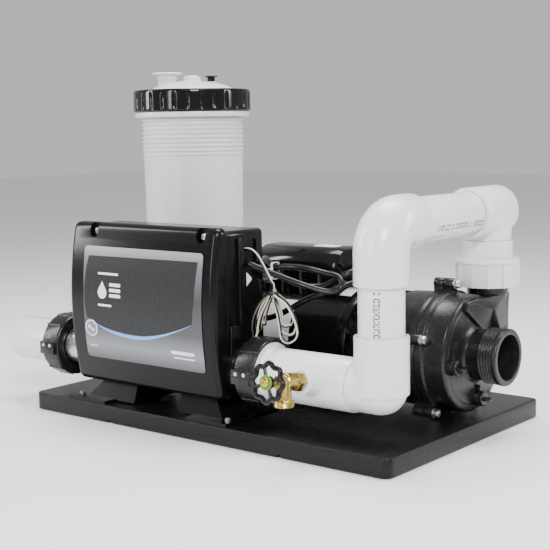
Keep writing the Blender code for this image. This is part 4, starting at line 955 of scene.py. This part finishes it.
def pump():
    at, seam = PUMP, 0.256
    port_thread = threads(0.347, 0.3255, 0.039, 0.0374, 0.0042)
    front = ([(0.0315, 0.355), (0.0385, 0.355), (0.0397, 0.3535), (0.0397, 0.348)] + port_thread
             + [(0.0376, 0.325), (0.0355, 0.3245), (0.0355, 0.3075), (0.04, 0.3045), (0.045, 0.303),
                (0.07, 0.302), (0.0715, 0.3013), (0.079, 0.3008), (0.0821, 0.2985), (0.083, 0.27),
                (0.0868, 0.268), (0.0868, seam), (0.0712, seam), (0.0712, 0.2915), (0.0315, 0.2965)])
    case = lathe("volute_case", front, at, "+X", "filled", 96, True, 0.0007)
    tower = brick((0.2566, UNION_Y - 0.027, PUMP_Z + 0.01), (0.3062, UNION_Y + 0.026, 0.188), None, 0.012,
                  "Z", 6, edge=0.0016)
    neck = turning([(0, 0.2255), (0.0392, 0.2255), (0.0392, 0.2045), (0.037, 0.203), (0.0297, 0.2),
                    (0.0297, 0.19), (0.0255, 0.18), (0, 0.18)], (RISER_X, UNION_Y, 0), "+Z", None, 72,
                   corner=0.001)
    ribs = []
    for k in range(3):
        x = 0.269 + 0.012 * k
        ribs.append(brick((x, UNION_Y - 0.03, PUMP_Z + 0.03), (x + 0.002, UNION_Y + 0.0285, 0.1995), None,
                          edge=0.0005))
    brace = prism("tool", [(0.3, 0.004), (0.3225, 0.004), (0.306, 0.052), (0.3, 0.056)], -0.0016, 0.0016,
                  (0, PUMP_Y + 0.046, PUMP_Z + 0.01), "-Y", None, 0.0004)
    pad = slab_x("tool", [(0.03, 0.1895), (0.028, 0.177), (0.074, 0.144), (0.121, 0.137), (0.144, 0.145),
                          (0.15, 0.1895)], 0.2975, 0.3072, None, 0.0012)
    joined(case, tower, neck, brace, pad, *ribs)
    cut(case, peg(0.0706, 0.2, 0.2912, at, "+X", steps=90),
        peg(0.0215, 0.146, 0.24, (RISER_X, UNION_Y, 0), "+Z", steps=48))
    plugs = (("side", PUMP_Y - 0.064, PUMP_Z - 0.009), ("lower", PUMP_Y + 0.0065, PUMP_Z - 0.064))
    for name, y, z in plugs:
        joined(case, peg(0.0112, 0.2993, 0.3098, (0, y, z), "+X", steps=40, corner=0.0008),
               brick((0.3, y - 0.0018, z + 0.01), (0.308, y + 0.0018, z + 0.019), None, edge=0.0005))
        cut(case, peg(0.006, 0.2713, 0.32, (0, y, z), "+X", steps=32))
        drain_plug(name, y, z)
    rear = [(0.0095, 0.2557), (0.0868, 0.2557), (0.0868, 0.245), (0.0835, 0.244), (0.0828, 0.232),
            (0.0815, 0.201), (0.0798, 0.199), (0.077, 0.198), (0.075, 0.17), (0.0735, 0.167),
            (0.068, 0.165), (0.068, 0.136), (0.06, 0.136), (0.06, 0.245), (0.0095, 0.245)]
    back = lathe("volute_back", rear, at, "+X", "filled", 96, True, 0.0008)
    fins = []
    for k in range(24):
        a = TAU * (k + 0.5) / 24
        fin = brick((0.17, 0.074, -0.0011), (0.1985, 0.08, 0.0011))
        fin.data.transform(Matrix.Translation(at) @ Matrix.Rotation(a, 4, "X"))
        fins.append(fin)
    joined(back, *fins)
    for name, angle in BOLTS:
        turn = radians(angle)
        y, z = polar(0.096, turn, PUMP[1:])
        for half, start, end in ((case, seam + 0.0003, 0.2705), (back, 0.24, seam - 0.0006)):
            web = brick((start + 0.0004, -0.0066 - 0.01, -0.0066), (end - 0.0004, -0.0034, 0.0066))
            web.data.transform(Matrix.Translation((0, y, z)) @ Matrix.Rotation(turn, 4, "X"))
            lug = peg(0.0075, start, end, (0, y, z), "+X", steps=32, corner=0.0005)
            joined(half, web, lug)
            cut(half, peg(0.0035, start - 0.003, end + 0.003, (0, y, z), "+X", steps=16))
        hexagon = prism("bolt_" + name, circle(0.0062, 6), 0.2722, 0.279, (0, y, z), "+X", "zinc", 0.0005)
        joined(hexagon, turning([(0, 0.2724), (0.0072, 0.2724), (0.0072, 0.2708), (0.003, 0.2708),
                                 (0.003, 0.237), (0, 0.237)], (0, y, z), "+X", None, 24))
        give(hexagon, "base", "steel", "volute_bolt_" + name)
    give(case, "base", "filled_plastic", "volute_front")
    give(back, "base", "filled_plastic", "volute_rear")
    eye = lathe("pump_wheel", [(0.0058, 0.286), (0.026, 0.286), (0.03, 0.28), (0.056, 0.274),
                               (0.056, 0.266), (0.01, 0.264), (0.0058, 0.264)], at, "+X", "black", 64,
                True, 0.0006)
    give(eye, "rotor", "black_plastic", "impeller")


def drain_plug(name, y, z):
    base = 0.3098
    plug = lathe("plug_" + name, [(0, base + 0.005), (0.0095, base + 0.005), (0.0105, base + 0.004),
                                  (0.0105, base + GAP), (0.0057, base + GAP), (0.0057, base - 0.0085),
                                  (0, base - 0.0085)], (0, y, z), "+X", "filled", 40)
    joined(plug, brick((base + 0.004, y - 0.0085, z - 0.0014), (base + 0.016, y + 0.0085, z + 0.0014),
                       None, 0.004, "Z", 4, edge=0.0005))
    give(plug, "plug_" + name, "filled_plastic", "drain_plug_" + name)


# ---------------------------------------------------------------- motor
def motor():
    shell = [(0.0755, 0.1355), (0.08, 0.1355), (0.08, 0.12), (0.0795, 0.119), (0.0795, -0.1),
             (0.08, -0.101), (0.08, -0.113), (0.0755, -0.113)]
    give(lathe("motor_can", shell, PUMP, "+X", "motor", 128, True, 0.0008), "base", "motor_paint",
         "motor_shell")
    cap = [(0.0085, -0.105), (0.0749, -0.105), (0.0749, -0.1133), (0.079, -0.1133), (0.078, -0.122),
           (0.07, -0.125), (0.03, -0.125), (0.028, -0.1235), (0.0085, -0.1235)]
    end = lathe("motor_end", cap, PUMP, "+X", "motor", 96, True, 0.0015)
    tools = []
    for i in range(4):
        spot = polar(0.05, pi * (i + 0.55) / 2, PUMP[1:])
        tools.append(peg(0.009, -0.14, -0.09, (0, *spot), "+X", steps=32))
    cut(end, *tools)
    give(end, "base", "motor_paint", "motor_end_cap")
    x0, x1, top = -0.06, 0.098, 0.252
    lid = block("motor_box", (x0, PUMP_Y - 0.044, 0.16), (x1, PUMP_Y + 0.044, top), "gloss", 0.03, "X",
                10, edge=0.008)
    joined(lid, brick((x0 - 0.016, PUMP_Y - 0.038, 0.17), (x0 + 0.01, PUMP_Y + 0.038, 0.242), None, 0.018,
                      "X", 8, edge=0.002))
    tools = [peg(0.0803, -0.2, 0.2, PUMP, "+X", steps=128),
             brick((x0 + 0.004, PUMP_Y - 0.034, 0.16), (x1 - 0.004, PUMP_Y + 0.034, 0.242))]
    for x in (-0.04, -0.006, 0.028, 0.062):
        tools.append(peg(0.0095, 0.15, 0.224, (x + 0.008, PUMP_Y - 0.05, 0), "+Z", steps=32,
                         corner=0.003))
    for y, z in ((0.056, 0.222), (0.048, 0.206)):
        tools.append(peg(LEAD_R + 0.0009, x1 - 0.006, x1 + 0.01, (0, y, z), "+X", steps=32))
    cut(lid, *tools)
    give(lid, "base", "black_plastic", "terminal_cover")
    sticker = block("motor_box_label", (0.028, PUMP_Y - 0.013, top - 0.0002),
                    (0.072, PUMP_Y + 0.013, top + 0.0002), "paper_label", 0.01, "Z", 6)
    give(sticker, "base", "black_plastic")
    curved_label("motor_plate", 0.0797, radians(131), radians(181), -0.04, 0.034)
    curved_label("motor_tag", 0.0797, radians(96), radians(117), 0.072, 0.118)


def curved_label(name, radius, a0, a1, x0, x1):
    bm = bmesh.new()
    rows = []
    for lift in (0.0, 0.00025):
        rows.append([[bm.verts.new((x, *polar(radius + lift, a0 + (a1 - a0) * k / 16, PUMP[1:])))
                      for k in range(17)] for x in (x0, x1)])
    low, high = rows
    for k in range(16):
        bm.faces.new((low[0][k], low[0][k + 1], low[1][k + 1], low[1][k]))
        bm.faces.new((high[0][k], high[0][k + 1], high[1][k + 1], high[1][k]))
    for x in (0, 1):
        for k in range(16):
            bm.faces.new((low[x][k], low[x][k + 1], high[x][k + 1], high[x][k]))
    for k in (0, 16):
        bm.faces.new((low[0][k], low[1][k], high[1][k], high[0][k]))
    give(finished(name, bm, "paper_label"), "base", "motor_paint")


# ---------------------------------------------------------------- filter
def filter_unit():
    at, r = FILTER, 0.0813
    ridge = threads(0.449, 0.3925, 0.0832, 0.0806, 0.007)
    body = ([(0, 0.05), (0.0712, 0.05), (0.0745, 0.485), (0.0875, 0.485), (0.0875, 0.4582),
             (0.0935, 0.458), (0.0935, 0.45), (0.082, 0.4495)] + ridge
            + [(0.0826, 0.392), (0.0826, 0.3895), (r, 0.388), (r, 0.385), (0.0765, 0.056),
               (0.0785, 0.0268), (0.07, 0.0268), (0.069, 0.044), (0, 0.044)])
    can = lathe("filter_can", body, at, "+Z", "filter", 128, corner=0.0007)
    for axis in ("-X", "+Y"):
        port = sleeve(0.0268, HUB_R, 0.066, 0.115)
        port_at = (FILTER[0], FILTER[1], 0.0885)
        joined(can, turning(port, port_at, axis, None, 60, True, 0.0008))
        cut(can, peg(PIPE_BORE, 0.05, 0.13, port_at, axis, steps=50))
    give(can, "base", "filter_plastic", "filter_canister")
    lid = [(0, 0.5178), (0.009, 0.5174), (0.0135, 0.5155), (0.015, 0.512), (0.015, 0.5085), (0.03, 0.507),
           (0.045, 0.5042), (0.062, 0.4985), (0.0695, 0.493), (0.085, 0.4925), (0.085, 0.4882),
           (0.069, 0.4882), (0.056, 0.496), (0.042, 0.4985), (0, 0.502)]
    cover_ = lathe("filter_top", lid, at, "+Z", "filter", 96, corner=0.0015)
    port = (FILTER[0] - 0.031, FILTER[1] - 0.025, 0)
    relief = (FILTER[0] + 0.0245, FILTER[1] + 0.02, 0)
    joined(cover_, peg(0.016, 0.498, 0.51, port, "+Z", steps=48),
           peg(0.0085, 0.5, 0.507, relief, "+Z", steps=32))
    give(cover_, "lid", "filter_plastic", "filter_lid")
    cap = [(0, 0.5225), (0.0235, 0.5225), (0.025, 0.5214), (0.025, 0.5197), (0.0215, 0.5186),
           (0.0178, 0.5175), (0.0168, 0.516), (0.0168, 0.5103), (0, 0.5103)]
    give(lathe("port_plug", cap, port, "+Z", "filter", 64, corner=0.0006), "port_cap", "filter_plastic",
         "lid_port_cap")
    knob = lathe("relief_knob", [(0, 0.5165), (0.0098, 0.5165), (0.0105, 0.5159), (0.0105, 0.5146),
                                 (0.007, 0.5138), (0.0062, 0.513), (0.0062, 0.5073), (0, 0.5073)], relief,
                 "+Z", "gloss", 48, corner=0.0003)
    give(knob, "relief", "black_plastic", "air_relief")
    locking_ring(at)


def locking_ring(at):
    """A ring with 28 shallow grooves down its rim."""
    rows = soft([(0.0705, 0.4934), (0.0925, 0.494), (0.095, 0.4928), (0.0957, 0.4895), (0.0957, 0.486),
                 (0.0957, 0.478), (0.0957, 0.47), (0.0957, 0.4635), (0.0957, 0.4605), (0.0945, 0.4585),
                 (0.088, 0.4585), (0.088, 0.4928)], 0.001, True)
    steps = 28 * 16
    bm = bmesh.new()
    rings = []
    for radius, z in rows:
        groove = 0.0017 if radius > 0.094 and 0.463 < z < 0.4885 else 0.0
        fade = min(1.0, (0.489 - z) / 0.0045, (z - 0.46) / 0.003) if groove else 0.0
        ring = []
        for k in range(steps):
            share = (k % 16) / 16
            dip = groove * fade * exp(-((min(share, 1 - share) / 0.085) ** 2))
            ring.append(bm.verts.new((*polar(radius - dip, TAU * k / steps, at), z)))
        rings.append(ring)
    for near, far in zip(rings, rings[1:] + rings[:1]):
        strip(bm, near, far)
    give(finished("lock_ring_rim", bm, "gloss", sharp=50), "ring", "black_plastic", "lock_ring")


# ---------------------------------------------------------------- CAD nodes that stay
STAY = {
    "heater_foot_left": "black", "heater_foot_right": "black", "foot_screw_left": "zinc",
    "foot_screw_right": "zinc", "circuit_board": "board", "transformer": "copper",
    "heater_element": "steel", "tube_gasket_left": "rubber", "tube_gasket_right": "rubber",
    "valve_stem": "brass", "motor_rotor": "steel", "stator_core": "copper", "motor_foot": "motor",
    "filter_cartridge": "media", "lid_oring": "rubber"}


def dress_cad():
    for node, key in STAY.items():
        obj = NODES[node]
        obj.data.materials.clear()
        obj.data.materials.append(M[key])


# ---------------------------------------------------------------- stage
def stage():
    M["floor"] = plain("floor", (0.86, 0.86, 0.86), 0.55)
    bm = bmesh.new()
    bmesh.ops.create_grid(bm, x_segments=1, y_segments=1, size=8)
    bmesh.ops.translate(bm, vec=(0, 0, -0.0006), verts=bm.verts)
    finished("floor", bm, "floor")
    world = bpy.data.worlds.new("studio")
    bpy.context.scene.world = world
    world.use_nodes = True
    back = world.node_tree.nodes["Background"]
    back.inputs["Color"].default_value = (1.0, 1.0, 1.0, 1)
    back.inputs["Strength"].default_value = 0.6
    for name, where, wide, high, power, aim in (
            ("key", (1.5, -1.5, 1.5), 0.7, 0.7, 62, (0, 0, 0.2)),
            ("top", (0.0, 0.3, 1.9), 1.2, 0.8, 46, (0, 0, 0.1)),
            ("left", (-1.7, -1.1, 1.0), 0.25, 1.2, 26, (0, -0.1, 0.2)),
            ("front", (-0.2, -2.4, 0.9), 0.3, 1.2, 22, (0, -0.1, 0.15)),
            ("rim", (1.7, 1.1, 1.0), 0.3, 1.0, 24, (0.1, 0.1, 0.2))):
        data = bpy.data.lights.new(name, "AREA")
        data.shape, data.size, data.size_y, data.energy = "RECTANGLE", wide, high, power
        lamp = link(bpy.data.objects.new(name, data))
        lamp.location = where
        lamp.rotation_euler = (Vector(aim) - Vector(where)).to_track_quat("-Z", "Y").to_euler()


# ---------------------------------------------------------------- build
camera()
cords()
tray()
cover()
housing()
heater()
plumbing()
valve()
pump()
motor()
filter_unit()
dress_cad()
stage()
